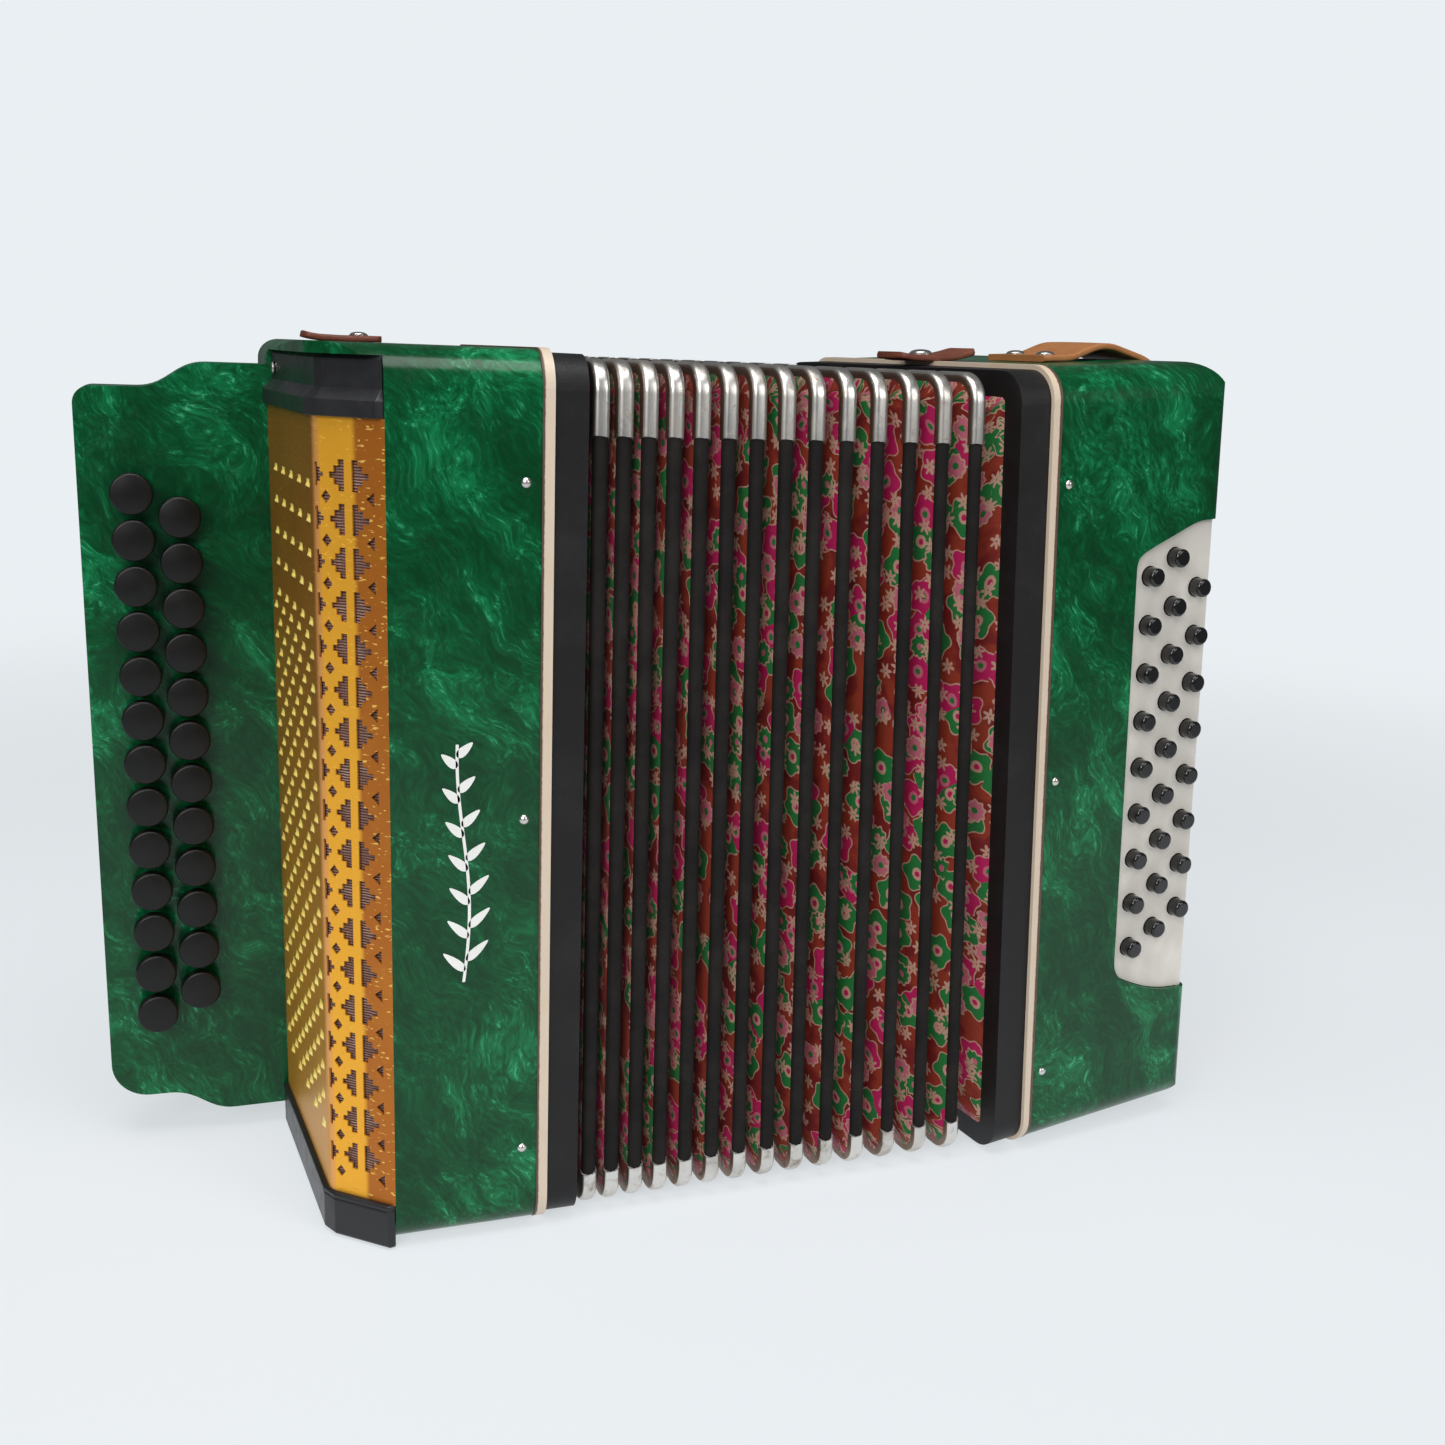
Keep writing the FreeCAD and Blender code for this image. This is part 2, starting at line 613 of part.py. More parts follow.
def treble_key(button_x, pallet_y):
    """Return one key about Z = 0: button, stem, lever, arm and pallet, all one rigid piece."""
    bar = size("key_bar")
    y = lever_y()
    dome = 0.9
    disc_back = size("board_front") - size("key_rise") + size("key_disc_thickness") + dome
    disc = button_disc(size("key_disc"), size("key_disc_thickness"), dome)
    disc.translate(Vector(button_x, disc_back, 0))
    stem = Part.makeCylinder(size("key_stem") / 2, y - disc_back, Vector(button_x, disc_back, 0),
                             Vector(0, 1, 0))
    arm_right = action_x() - PALLET_BACK
    lever = Part.makeBox(arm_right - button_x + 3, LEVER_DEPTH, bar,
                         Vector(button_x - 3, y - LEVER_DEPTH / 2, -bar / 2))
    arm = Part.makeBox(ARM_THICK, y - pallet_y + LEVER_DEPTH / 2, bar,
                       Vector(arm_right - ARM_THICK, pallet_y, -bar / 2))
    pallet = Part.makeBox(PALLET_BACK - size("pallet_gap"), PALLET_LONG, PALLET_TALL,
                          Vector(arm_right, pallet_y - PALLET_LONG / 2, -PALLET_TALL / 2))
    foot = Part.makeBox(1.0, 6.0, bar, Vector(arm_right - 0.5, pallet_y - 3, -bar / 2))
    hub = Part.makeCylinder(size("axle"), bar, Vector(pivot_x(), y, -bar / 2))
    key = disc.fuse([stem, lever, arm, foot, pallet, hub]).removeSplitter()
    bore = Part.makeCylinder(size("axle") / 2 + size("axle_play"), bar + 2,
                             Vector(pivot_x(), y, -bar / 2 - 1))
    return key.cut(bore)


def treble_keys():
    """Make the treble keys, each with its own button, lever and pallet."""
    places = key_places()
    outer = treble_key(places[0][0], OUTER_PALLET_Y)
    inner = treble_key(places[TREBLE_OUTER_KEYS][0], INNER_PALLET_Y)
    for index, (_, z) in enumerate(places):
        shape = outer if index < TREBLE_OUTER_KEYS else inner
        key = shape.copy()
        key.translate(Vector(0, 0, z))
        feature("treble_key_%02d" % (index + 1), key, treble_pose(0))


def treble_action():
    """Make the action board with its tone holes, the reed blocks behind it and the lever axle."""
    x0 = action_x()
    x1 = x0 + ACTION_BOARD
    board = rounded_plate(x0, x1, size("case_wall"), size("case_corner") - size("case_wall"))
    for index, (_, z) in enumerate(key_places()):
        y = OUTER_PALLET_Y if index < TREBLE_OUTER_KEYS else INNER_PALLET_Y
        hole = Part.makeCylinder(TONE_HOLE / 2, ACTION_BOARD + 2, Vector(x0 - 1, y, z),
                                 Vector(1, 0, 0))
        board = board.cut(hole)
    solids = [board]
    for y in (OUTER_PALLET_Y, INNER_PALLET_Y):
        solids.append(reed_block(x1, treble_edge() - 6.0, y))
    low = first_key_z() - size("key_pitch") / 2
    high = size("case_height") - low
    y = lever_y()
    rod = Part.makeCylinder(size("axle") / 2, high - low, Vector(pivot_x(), y, low))
    wall_face = -size("treble_width") / 2 - size("wing_reach") + size("case_wall")
    for z in (low, high):
        bracket = Part.makeBox(pivot_x() - wall_face + 3, 8, 3, Vector(wall_face, y - 4, z - 1.5))
        rod = rod.fuse(bracket)
    solids.append(rod.removeSplitter())
    feature("treble_action_unit", Part.makeCompound(solids), treble_pose(0))


def reed_block(x0, x1, y):
    """Return a tapered reed block from x0 to x1, centred on y, with reed chambers along it."""
    low, high = REED_MARGIN, size("case_height") - REED_MARGIN
    wide, narrow = REED_WIDE / 2, REED_NARROW / 2
    base = polygon_face([(x0, y - wide), (x0, y + wide), (x1, y + narrow), (x1, y - narrow)], low)
    block = base.extrude(Vector(0, 0, high - low))
    step = (high - low) / REED_CHAMBERS
    left = min(x0, x1) + REED_WALL
    depth = abs(x1 - x0) - 2 * REED_WALL
    for i in range(REED_CHAMBERS):
        z = low + step * i
        chamber = Part.makeBox(depth, REED_WIDE + 2, step - REED_WALL,
                               Vector(left, y - wide - 1, z + REED_WALL / 2))
        web = Part.makeBox(depth, REED_WALL, step, Vector(left, y - REED_WALL / 2, z))
        block = block.cut(chamber.cut(web))
    return block


def grille():
    """Make the bent grille sheet."""
    sheet_shape = grille_band(0.0, size("grille_sheet"), size("cap_foot"), grille_top())
    feature("grille", sheet_shape, treble_pose(0))


def grille_cloth():
    """Make the cloth stretched behind the grille."""
    behind = size("grille_sheet") + 0.4
    cloth = grille_band(behind, behind + 0.5, size("cap_foot") + 0.3, grille_top() - 0.3)
    feature("grille_cloth", cloth, treble_pose(0))


def grille_end_caps():
    """Make the two dark caps that close the grille's ends."""
    proud = size("cap_proud")
    foot = cap_prism(-proud, 0.0, size("cap_foot"))
    rim = cap_prism(-proud, grille_top(), grille_top() + size("cap_rim"))
    block = cap_prism(2.2, grille_top() + size("cap_rim"), size("case_height") - size("case_wall"))
    head = rim.fuse(block).removeSplitter()
    feature("grille_end_caps", Part.makeCompound([foot, head]), treble_pose(0))


# ------------------------------------------------------------------- pins

def pin_heights():
    """Return the heights of a case's pins."""
    height, end = size("case_height"), size("pin_end")
    return [end - 10.0, height / 2, height - end]


def pin_shanks(x, depth):
    """Return the shanks of one case's pins, front and back, at X."""
    radius = size("pin_shank") / 2
    shanks = []
    for z in pin_heights():
        shanks.append(Part.makeCylinder(radius, PIN_DEPTH, Vector(x, 0, z), Vector(0, 1, 0)))
        shanks.append(Part.makeCylinder(radius, PIN_DEPTH, Vector(x, depth, z), Vector(0, -1, 0)))
    return shanks


def case_pins(label, x, pose):
    """Make one case's round-headed pins."""
    depth = size("case_depth")
    pins = []
    for index, shank in enumerate(pin_shanks(x, depth)):
        z = pin_heights()[index // 2]
        outward = -1 if index % 2 == 0 else 1
        y = 0 if index % 2 == 0 else depth
        ball = Part.makeSphere(size("pin_head") * 0.62)
        ball.translate(Vector(x, y - outward * size("pin_head") * 0.36, z))
        outside = Part.makeBox(10, 5, 10, Vector(x - 5, y if outward > 0 else y - 5, z - 5))
        pins.append(ball.common(outside).fuse(shank).removeSplitter())
    feature(label, Part.makeCompound(pins), pose)


# -------------------------------------------------------------- bass side

def bass_inner():
    """Return X of the bass case's inner edge from the bass frame's inner face."""
    return size("bass_frame_width") + size("strip_width")


def corner_arc(cx, cz, radius, number):
    """Return three (x, second) points of a quarter circle; number 0 is up and right."""
    angles = [(number + part) * pi / 2 for part in (0.0, 0.5, 1.0)]
    return [(cx + radius * cos(angle), cz + radius * sin(angle)) for angle in angles]


def profile_solid(width, low_radius, high_radius, low, high, upright):
    """Return an outline with two rounded corners at its far end as a prism through the case.

    The outline lies in elevation (x, z) when upright is true, and otherwise in plan (x, y).
    """
    lower = corner_arc(width - low_radius, low + low_radius, low_radius, 3)
    upper = corner_arc(width - high_radius, high - high_radius, high_radius, 0)

    def place(point):
        return Vector(point[0], -1, point[1]) if upright else Vector(point[0], point[1], -1)

    edges = [
        Part.makeLine(place((0, low)), place(lower[0])),
        Part.Arc(*[place(point) for point in lower]).toShape(),
        Part.makeLine(place(lower[2]), place(upper[0])),
        Part.Arc(*[place(point) for point in upper]).toShape(),
        Part.makeLine(place(upper[2]), place((0, high))),
        Part.makeLine(place((0, high)), place((0, low))),
    ]
    face = Part.Face(Part.Wire(Part.__sortEdges__(edges)))
    through = size("case_depth") + 2 if upright else size("case_height") + 2
    return face.extrude(Vector(0, through, 0) if upright else Vector(0, 0, through))


def bass_block(shrink):
    """Return the bass case's outside as a solid, or its inside when shrunk by the wall."""
    width = size("bass_width")
    height, depth = size("case_height"), size("case_depth")
    block = rounded_plate(0, width, shrink, size("case_corner") - shrink)
    elevation = profile_solid(width - shrink, size("bass_foot_corner") - shrink,
                              size("bass_top_corner") - shrink, shrink, height - shrink, True)
    corner = size("bass_side_corner") - min(shrink, size("bass_side_corner") - 1.0)
    plan = profile_solid(width - shrink, corner, corner, shrink, depth - shrink, False)
    return block.common(elevation).common(plan)


def panel_outline(inset):
    """Return the bass panel's outline in XZ, open to the outer side."""
    left = size("panel_left") + inset
    foot = size("panel_foot") + inset
    head = size("panel_head") - inset
    right = size("bass_width") + 1
    edges = [
        flat_line((right, head), (left + 38.0, head)),
        flat_curve([(left + 38.0, head), (left + 26.0, head - 2.9), (left + 6.0, head - 10.6)],
                   (-1.0, 0.0), (-1.0, -0.42)),
        flat_curve([(left + 6.0, head - 10.6), (left, head - 18.0)], (-1.0, -0.42), (0.0, -1.0)),
        flat_line((left, head - 18.0), (left, foot + 22.0)),
        flat_curve([(left, foot + 22.0), (left + 9.5, foot + 9.5), (left + 49.0, foot)],
                   (0.0, -1.0), (1.0, 0.0)),
        flat_line((left + 49.0, foot), (right, foot)),
        flat_line((right, foot), (right, head)),
    ]
    return upright_face(edges)


def bass_case():
    """Make the bass case: a shell open to the bellows, with a cut-out for its panel."""
    shell = bass_block(0.0).cut(bass_block(size("case_wall")))
    inside = rounded_plate(-1, size("bass_width") / 2, size("case_wall"),
                           size("case_corner") - size("case_wall"))
    shell = shell.cut(inside)
    room = panel_outline(0.0).extrude(Vector(0, size("panel_flange") + size("panel_recess") + 1, 0))
    room.translate(Vector(0, -1, 0))
    shell = shell.cut(room)
    start = size("bass_width") - 2 * size("case_wall")
    for z in sound_hole_heights():
        for y in (size("case_depth") * 0.62, size("case_depth") * 0.78):
            hole = Part.makeCylinder(SOUND_HOLE / 2, 3 * size("case_wall"), Vector(start, y, z),
                                     Vector(1, 0, 0))
            shell = shell.cut(hole)
    for hole in pin_shanks(size("pin_edge"), size("case_depth")):
        shell = shell.cut(hole)
    feature("bass_case", shell, bass_pose(bass_inner()))


def sound_hole_heights():
    """Return the heights of the sound holes in the bass case's outer side."""
    middle = size("case_height") / 2
    return [middle + SOUND_PITCH * (i - (SOUND_HOLES - 1) / 2) for i in range(SOUND_HOLES)]


def bass_button_places():
    """Return for each bass row its name and its buttons' (x, z) from the bass case's inner edge."""
    top = size("panel_head") - 22.0
    rows = []
    for number, (name, count, shift) in enumerate(BASS_ROWS):
        x = size("panel_left") + size("bass_first_row") + size("bass_row_gap") * number
        z = top + size("bass_pitch") * shift
        rows.append((name, [(x, z - size("bass_pitch") * i) for i in range(count)]))
    return rows


def bass_panel():
    """Make the bass button panel: a plate with a flange round to the outer side."""
    play = size("panel_play")
    recess, thick = size("panel_recess"), size("panel_sheet")
    outer_x = size("bass_width") - size("panel_recess")
    plate = panel_outline(play).extrude(Vector(0, thick, 0))
    plate.translate(Vector(0, recess, 0))
    tall = size("panel_head") - size("panel_foot") - 2 * play
    flange = Part.makeBox(thick, size("panel_flange"), tall,
                          Vector(outer_x - thick, recess, size("panel_foot") + play))
    beyond = Part.makeBox(20, 100, 2 * size("case_height"), Vector(outer_x, -10, -10))
    panel = plate.fuse(flange).cut(beyond).removeSplitter()
    for _, places in bass_button_places():
        for x, z in places:
            hole = Part.makeCylinder(size("bass_button_hole") / 2, 12, Vector(x, -2, z),
                                     Vector(0, 1, 0))
            panel = panel.cut(hole)
    feature("bass_button_panel", panel, bass_pose(bass_inner()))


def bass_buttons():
    """Make the bass buttons, one node to a row, each button a separate solid."""
    front = size("panel_recess") - size("bass_button_rise")
    radius = size("bass_button") / 2
    for name, places in bass_button_places():
        solids = []
        for x, z in places:
            button = Part.makeCylinder(radius, BUTTON_LENGTH, Vector(x, front, z),
                                       Vector(0, 1, 0))
            rim = [edge for edge in button.Edges
                   if edge.Closed and abs(edge.Vertexes[0].Y - front) < 0.01]
            solids.append(button.makeFillet(1.3, rim))
        feature("bass_buttons_%s_row" % name, Part.makeCompound(solids), bass_pose(bass_inner()))


def bass_action():
    """Make the bass action board and its reed blocks, which reach into the bellows."""
    x0 = 2.0
    wall = size("case_wall")
    board = rounded_plate(x0, x0 + ACTION_BOARD, wall, size("case_corner") - wall)
    for _, places in bass_button_places():
        for _, z in places:
            centre = Vector(x0 - 1, size("case_depth") / 2, z)
            hole = Part.makeCylinder(BASS_TONE_HOLE / 2, ACTION_BOARD + 2, centre,
                                     Vector(1, 0, 0))
            board = board.cut(hole)
    solids = [board]
    for y in (BASS_REED_Y, size("case_depth") - BASS_REED_Y):
        solids.append(reed_block(x0, x0 - BASS_REED_REACH, y))
    feature("bass_action_unit", Part.makeCompound(solids), bass_pose(bass_inner()))


def swept_strap(path, width, thickness, y):
    """Return a flat strap on the outer side of an XZ path, centred on y."""
    outer = path.makeOffset2D(thickness, 0, False, True, True)
    a0, a1 = end_points(path)
    b0, b1 = end_points(outer)
    if a0.distanceToPoint(b0) > a0.distanceToPoint(b1):
        b0, b1 = b1, b0
    closing = [Part.makeLine(a0, b0), Part.makeLine(a1, b1)]
    wire = Part.Wire(Part.__sortEdges__(path.Edges + outer.Edges + closing))
    strap = Part.Face(wire).extrude(Vector(0, width, 0))
    strap.translate(Vector(0, y - width / 2, 0))
    return strap


def end_points(wire):
    """Return the two open ends of a wire."""
    ordered = wire.OrderedVertexes
    return ordered[0].Point, ordered[-1].Point


def filleted_path(points, radii):
    """Return a wire through (x, z) points, its inner corners rounded by the given radii."""
    vectors = [Vector(x, 0, z) for x, z in points]
    edges = []
    last = vectors[0]
    for i in range(1, len(vectors) - 1):
        back = (vectors[i - 1] - vectors[i]).normalize()
        ahead = (vectors[i + 1] - vectors[i]).normalize()
        half = back.getAngle(ahead) / 2
        reach = radii[i - 1] * cos(half) / sin(half)
        start = vectors[i] + back * reach
        finish = vectors[i] + ahead * reach
        bisector = (back + ahead).normalize()
        middle = vectors[i] + bisector * (radii[i - 1] / sin(half) - radii[i - 1])
        edges.append(Part.makeLine(last, start))
        edges.append(Part.Arc(start, middle, finish).toShape())
        last = finish
    edges.append(Part.makeLine(last, vectors[-1]))
    return Part.Wire(edges)


def strap_path():
    """Return the hand strap's inner path and its corner radii.

    It is anchored on both ends of the case and bowed over the outer side. Its lower end lies flat,
    in the space that the case's lean leaves under it.
    """
    width, height = size("bass_width"), size("case_height")
    rise, bow = size("strap_rise"), size("strap_bow")
    anchor = size("strap_anchor")
    lift = 0.3
    points = [
        (anchor - 8.0, height + lift),
        (anchor + 8.0, height + lift),
        (anchor + 26.0, height + rise),
        (width + 4.0, height - 4.0),
        (width + bow - 6.0, height - 46.0),
        (width + bow, height / 2 + 40.0),
        (width + bow, height / 2 - 40.0),
        (width + bow - 5.0, 46.0),
        (width + 1.0, -lift),
        (anchor + 6.0, -lift),
    ]
    radii = [20.0, 24.0, 26.0, 60.0, 120.0, 120.0, 60.0, 18.0]
    return filleted_path(points, radii)


def hand_strap():
    """Make the leather hand strap."""
    strap = swept_strap(strap_path(), size("strap_width"), size("strap_thickness"),
                        size("strap_centre"))
    feature("hand_strap", strap, bass_pose(bass_inner()))


def closing_strap():
    """Make the closing strap's leather tab on the bass frame and case, with its press stud."""
    length, thick = 40.0, size("tab_thickness")
    lift = size("case_height") + size("strip_proud") + 0.2
    tab = Part.makeBox(length, size("tab_width"), thick,
                       Vector(-2.0, size("tab_centre") - size("tab_width") / 2, lift))
    stud = Part.makeSphere(5.5)
    stud.translate(Vector(15.0, size("tab_centre"), lift + thick - 3.6))
    above = Part.makeBox(20, 20, 10, Vector(5, size("tab_centre") - 10, lift + thick))
    feature("closing_strap_tab", tab.fuse(stud.common(above)).removeSplitter(), bass_pose())


def check_and_export():
    """Check every object and sub-part, then write each sub-part to its own file."""
    for obj in doc.Objects:
        if "Invalid" in obj.State or "Error" in obj.State:
            raise RuntimeError("%s is in state %s" % (obj.Label, obj.State))
    for obj in PARTS:
        if obj.Shape.isNull() or not obj.Shape.isValid():
            raise RuntimeError("%s has no valid shape" % obj.Label)
    os.makedirs("parts", exist_ok=True)
    for obj in PARTS:
        obj.Shape.exportStep(os.path.join("parts", obj.Label + ".step"))
    print("%d sub-parts written" % len(PARTS))


def main():
    """Build the whole accordion."""
    treble_case()
    edge_strip("treble_edge_strip", treble_pose(size("treble_width") / 2))
    bellows_frame("treble_bellows_frame", "Sizes.treble_frame_width", treble_pose(treble_edge()))
    fingerboard()
    grille()
    grille_cloth()
    grille_end_caps()
    treble_action()
    case_pins("treble_pins", size("treble_width") / 2 - size("pin_edge"), treble_pose(0))
    treble_keys()
    bellows_folds()
    bellows_cloth()
    bellows_frame("bass_bellows_frame", "Sizes.bass_frame_width", bass_pose())
    edge_strip("bass_edge_strip", bass_pose(size("bass_frame_width")))
    bass_case()
    bass_panel()
    bass_buttons()
    bass_action()
    case_pins("bass_pins", size("pin_edge"), bass_pose(bass_inner()))
    hand_strap()
    closing_strap()
    doc.recompute()
    check_and_export()


main()
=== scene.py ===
"""Looks for a two-row button accordion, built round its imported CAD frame.

Lengths are in metres, in the row frame: X runs from the treble side to the bass side, the front
faces -Y and Z is up. Every place is worked out from the CAD nodes and from a few named sizes.
"""

import logging
import math
from dataclasses import dataclass, field
from enum import Enum
from typing import Sequence

import bmesh
import bpy
from mathutils import Matrix, Vector


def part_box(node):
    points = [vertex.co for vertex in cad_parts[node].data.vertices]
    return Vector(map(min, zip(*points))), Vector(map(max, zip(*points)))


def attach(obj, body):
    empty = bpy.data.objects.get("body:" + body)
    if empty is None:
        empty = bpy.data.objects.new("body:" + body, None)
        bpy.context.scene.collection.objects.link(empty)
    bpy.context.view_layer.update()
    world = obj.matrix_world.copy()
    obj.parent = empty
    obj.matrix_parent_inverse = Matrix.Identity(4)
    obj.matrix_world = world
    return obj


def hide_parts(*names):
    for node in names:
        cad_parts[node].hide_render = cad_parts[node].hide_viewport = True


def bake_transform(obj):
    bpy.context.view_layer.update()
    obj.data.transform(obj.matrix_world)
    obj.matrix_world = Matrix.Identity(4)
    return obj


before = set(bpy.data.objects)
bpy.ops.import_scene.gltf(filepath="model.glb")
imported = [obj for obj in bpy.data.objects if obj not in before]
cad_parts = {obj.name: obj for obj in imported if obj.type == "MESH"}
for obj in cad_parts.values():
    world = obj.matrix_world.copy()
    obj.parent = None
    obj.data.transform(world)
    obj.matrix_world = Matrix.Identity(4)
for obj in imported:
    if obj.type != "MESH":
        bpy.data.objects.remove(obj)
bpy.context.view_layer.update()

log = logging.getLogger("accordion")
MM = 0.001
Colour = tuple[float, float, float]
Pair = tuple[float, float]


class Finish(Enum):
    """The names of the finishes."""

    GREEN = "green_pearloid"
    LEATHERETTE = "black_leatherette"
    CAP = "black_cap"
    WOOD = "action_wood"
    NICKEL = "nickel_pins"
    PANEL = "pale_panel"
    BUTTON = "black_button"
    SATIN = "floral_satin"
    GILT = "gilt_sheet"
    WEAVE = "grille_weave"
    TAN = "tan_leather"
    BROWN = "brown_leather"


# ---------------------------------------------------------------- shader maths

class Value:
    """One socket's value inside a material, with Python's operators for its arithmetic."""

    def __init__(self, nodes: "Nodes", socket: bpy.types.NodeSocket) -> None:
        """Wrap a socket.

        Args:
            nodes: The node tree that the socket belongs to.
            socket: The output socket.
        """
        self.nodes = nodes
        self.socket = socket

    def __add__(self, other: "Number") -> "Value":
        """Add."""
        return self.nodes.maths("ADD", self, other)

    def __radd__(self, other: "Number") -> "Value":
        """Add, reflected."""
        return self.nodes.maths("ADD", other, self)

    def __sub__(self, other: "Number") -> "Value":
        """Subtract."""
        return self.nodes.maths("SUBTRACT", self, other)

    def __rsub__(self, other: "Number") -> "Value":
        """Subtract, reflected."""
        return self.nodes.maths("SUBTRACT", other, self)

    def __mul__(self, other: "Number") -> "Value":
        """Multiply."""
        return self.nodes.maths("MULTIPLY", self, other)

    def __rmul__(self, other: "Number") -> "Value":
        """Multiply, reflected."""
        return self.nodes.maths("MULTIPLY", other, self)

    def __truediv__(self, other: "Number") -> "Value":
        """Divide."""
        return self.nodes.maths("DIVIDE", self, other)

    def __gt__(self, other: "Number") -> "Value":
        """Give 1 where this is the greater."""
        return self.nodes.maths("GREATER_THAN", self, other)

    def __lt__(self, other: "Number") -> "Value":
        """Give 1 where this is the smaller."""
        return self.nodes.maths("LESS_THAN", self, other)

    def __abs__(self) -> "Value":
        """Give the absolute value."""
        return self.nodes.maths("ABSOLUTE", self)

    def step(self, low: float, high: float) -> "Value":
        """Give a smooth step from 0 at low to 1 at high.

        Args:
            low: Where the step starts.
            high: Where the step ends; below low, the step falls.

        Returns:
            The stepped value.
        """
        falling = high < low
        ends = {1: high, 2: low} if falling else {1: low, 2: high}
        made = self.nodes.add("ShaderNodeMapRange", {"interpolation_type": "SMOOTHSTEP"},
                              {0: self, **ends})[0]
        return 1.0 - made if falling else made


Number = Value | float | int
Input = Value | float | Sequence[float]


class Nodes:
    """A node tree, filled in code."""

    def __init__(self, name: str, world: bool = False) -> None:
        """Start an empty material or world.

        Args:
            name: Its name.
            world: Whether to make a world.
        """
        self.owner = (bpy.data.worlds if world else bpy.data.materials).new(name)
        self.owner.use_nodes = True
        self.tree = self.owner.node_tree
        self.tree.nodes.clear()

    def add(self, kind: str, settings: dict[str, object] | None = None,
            inputs: dict[int | str, Input] | None = None) -> list[Value]:
        """Add any node.

        Args:
            kind: The node's type.
            settings: Its own settings, which are set first.
            inputs: Values or links by socket name or number.

        Returns:
            Its outputs.
        """
        node = self.tree.nodes.new(kind)
        for name, setting in (settings or {}).items():
            setattr(node, name, setting)
        for key, value in (inputs or {}).items():
            if isinstance(value, Value):
                self.tree.links.new(value.socket, node.inputs[key])
            else:
                node.inputs[key].default_value = value
        return [Value(self, socket) for socket in node.outputs]

    def maths(self, operation: str, *values: Number) -> Value:
        """Add a Math node.

        Args:
            operation: The node's operation.
            values: Its inputs, in order.

        Returns:
            Its result.
        """
        return self.add("ShaderNodeMath", {"operation": operation}, dict(enumerate(values)))[0]

    def vector(self, operation: str, *values: Input) -> Value:
        """Add a Vector Math node on vectors.

        Args:
            operation: The node's operation.
            values: Its vector inputs, in order.

        Returns:
            Its result: a vector, or a number for LENGTH and DOT_PRODUCT.
        """
        made = self.add("ShaderNodeVectorMath", {"operation": operation}, dict(enumerate(values)))
        return made[1] if operation in ("LENGTH", "DOT_PRODUCT", "DISTANCE") else made[0]

    def scaled(self, vector: Value, factor: Number) -> Value:
        """Return a vector times a number."""
        return self.add("ShaderNodeVectorMath", {"operation": "SCALE"},
                        {"Vector": vector, "Scale": factor})[0]

    def mix(self, factor: Number, first: Input, second: Input) -> Value:
        """Mix two colours.

        Args:
            factor: 0 gives the first and 1 the second.
            first: A colour.
            second: A colour.

        Returns:
            The mixed colour.
        """
        ends = [(*end, 1.0) if isinstance(end, tuple) and len(end) == 3 else end
                for end in (first, second)]
        return self.add("ShaderNodeMix", {"data_type": "RGBA"},
                        {0: factor, 6: ends[0], 7: ends[1]})[2]

    def place(self) -> Value:
        """Return the coordinates in the row frame, at rest."""
        return self.add("ShaderNodeTexCoord")[3]

    def weave(self) -> Value:
        """Return the coordinates along the cloth, in metres."""
        return self.add("ShaderNodeUVMap", {"uv_map": "weave"})[0]

    def split(self, vector: Value) -> list[Value]:
        """Return a vector's three numbers."""
        return self.add("ShaderNodeSeparateXYZ", None, {0: vector})

    def noise(self, vector: Value, scale: float, detail: float = 2.0, roughness: float = 0.5,
              distortion: float = 0.0) -> list[Value]:
        """Add a Noise texture.

        Args:
            vector: Its coordinates.
            scale: Features to the metre.
            detail: Octaves.
            roughness: Weight of the finer octaves.
            distortion: How far the pattern is swirled.

        Returns:
            The noise as a number and as a colour.
        """
        return self.add("ShaderNodeTexNoise", None,
                        {"Vector": vector, "Scale": scale, "Detail": detail,
                         "Roughness": roughness, "Distortion": distortion})

    def bump(self, height: Value, distance: float, strength: float = 1.0,
             normal: Value | None = None) -> Value:
        """Add a Bump node.

        Args:
            height: The height, from 0 to 1.
            distance: What a height of 1 is, in metres.
            strength: How much of it shows.
            normal: A normal to build on.

        Returns:
            The bumped normal.
        """
        inputs: dict[int | str, Input] = {"Height": height, "Distance": distance,
                                          "Strength": strength}
        if normal is not None:
            inputs["Normal"] = normal
        return self.add("ShaderNodeBump", None, inputs)[0]

    def finish(self, settings: dict[int | str, Input]) -> bpy.types.Material:
        """Close the tree with a Principled shader.

        Args:
            settings: The shader's inputs.

        Returns:
            The finished material.
        """
        ready = {key: (*value, 1.0) if isinstance(value, tuple) and len(value) == 3 else value
                 for key, value in settings.items()}
        shader = self.add("ShaderNodeBsdfPrincipled", None, ready)[0]
        self.add("ShaderNodeOutputMaterial", None, {0: shader})
        return self.owner


# ------------------------------------------------------------------- finishes

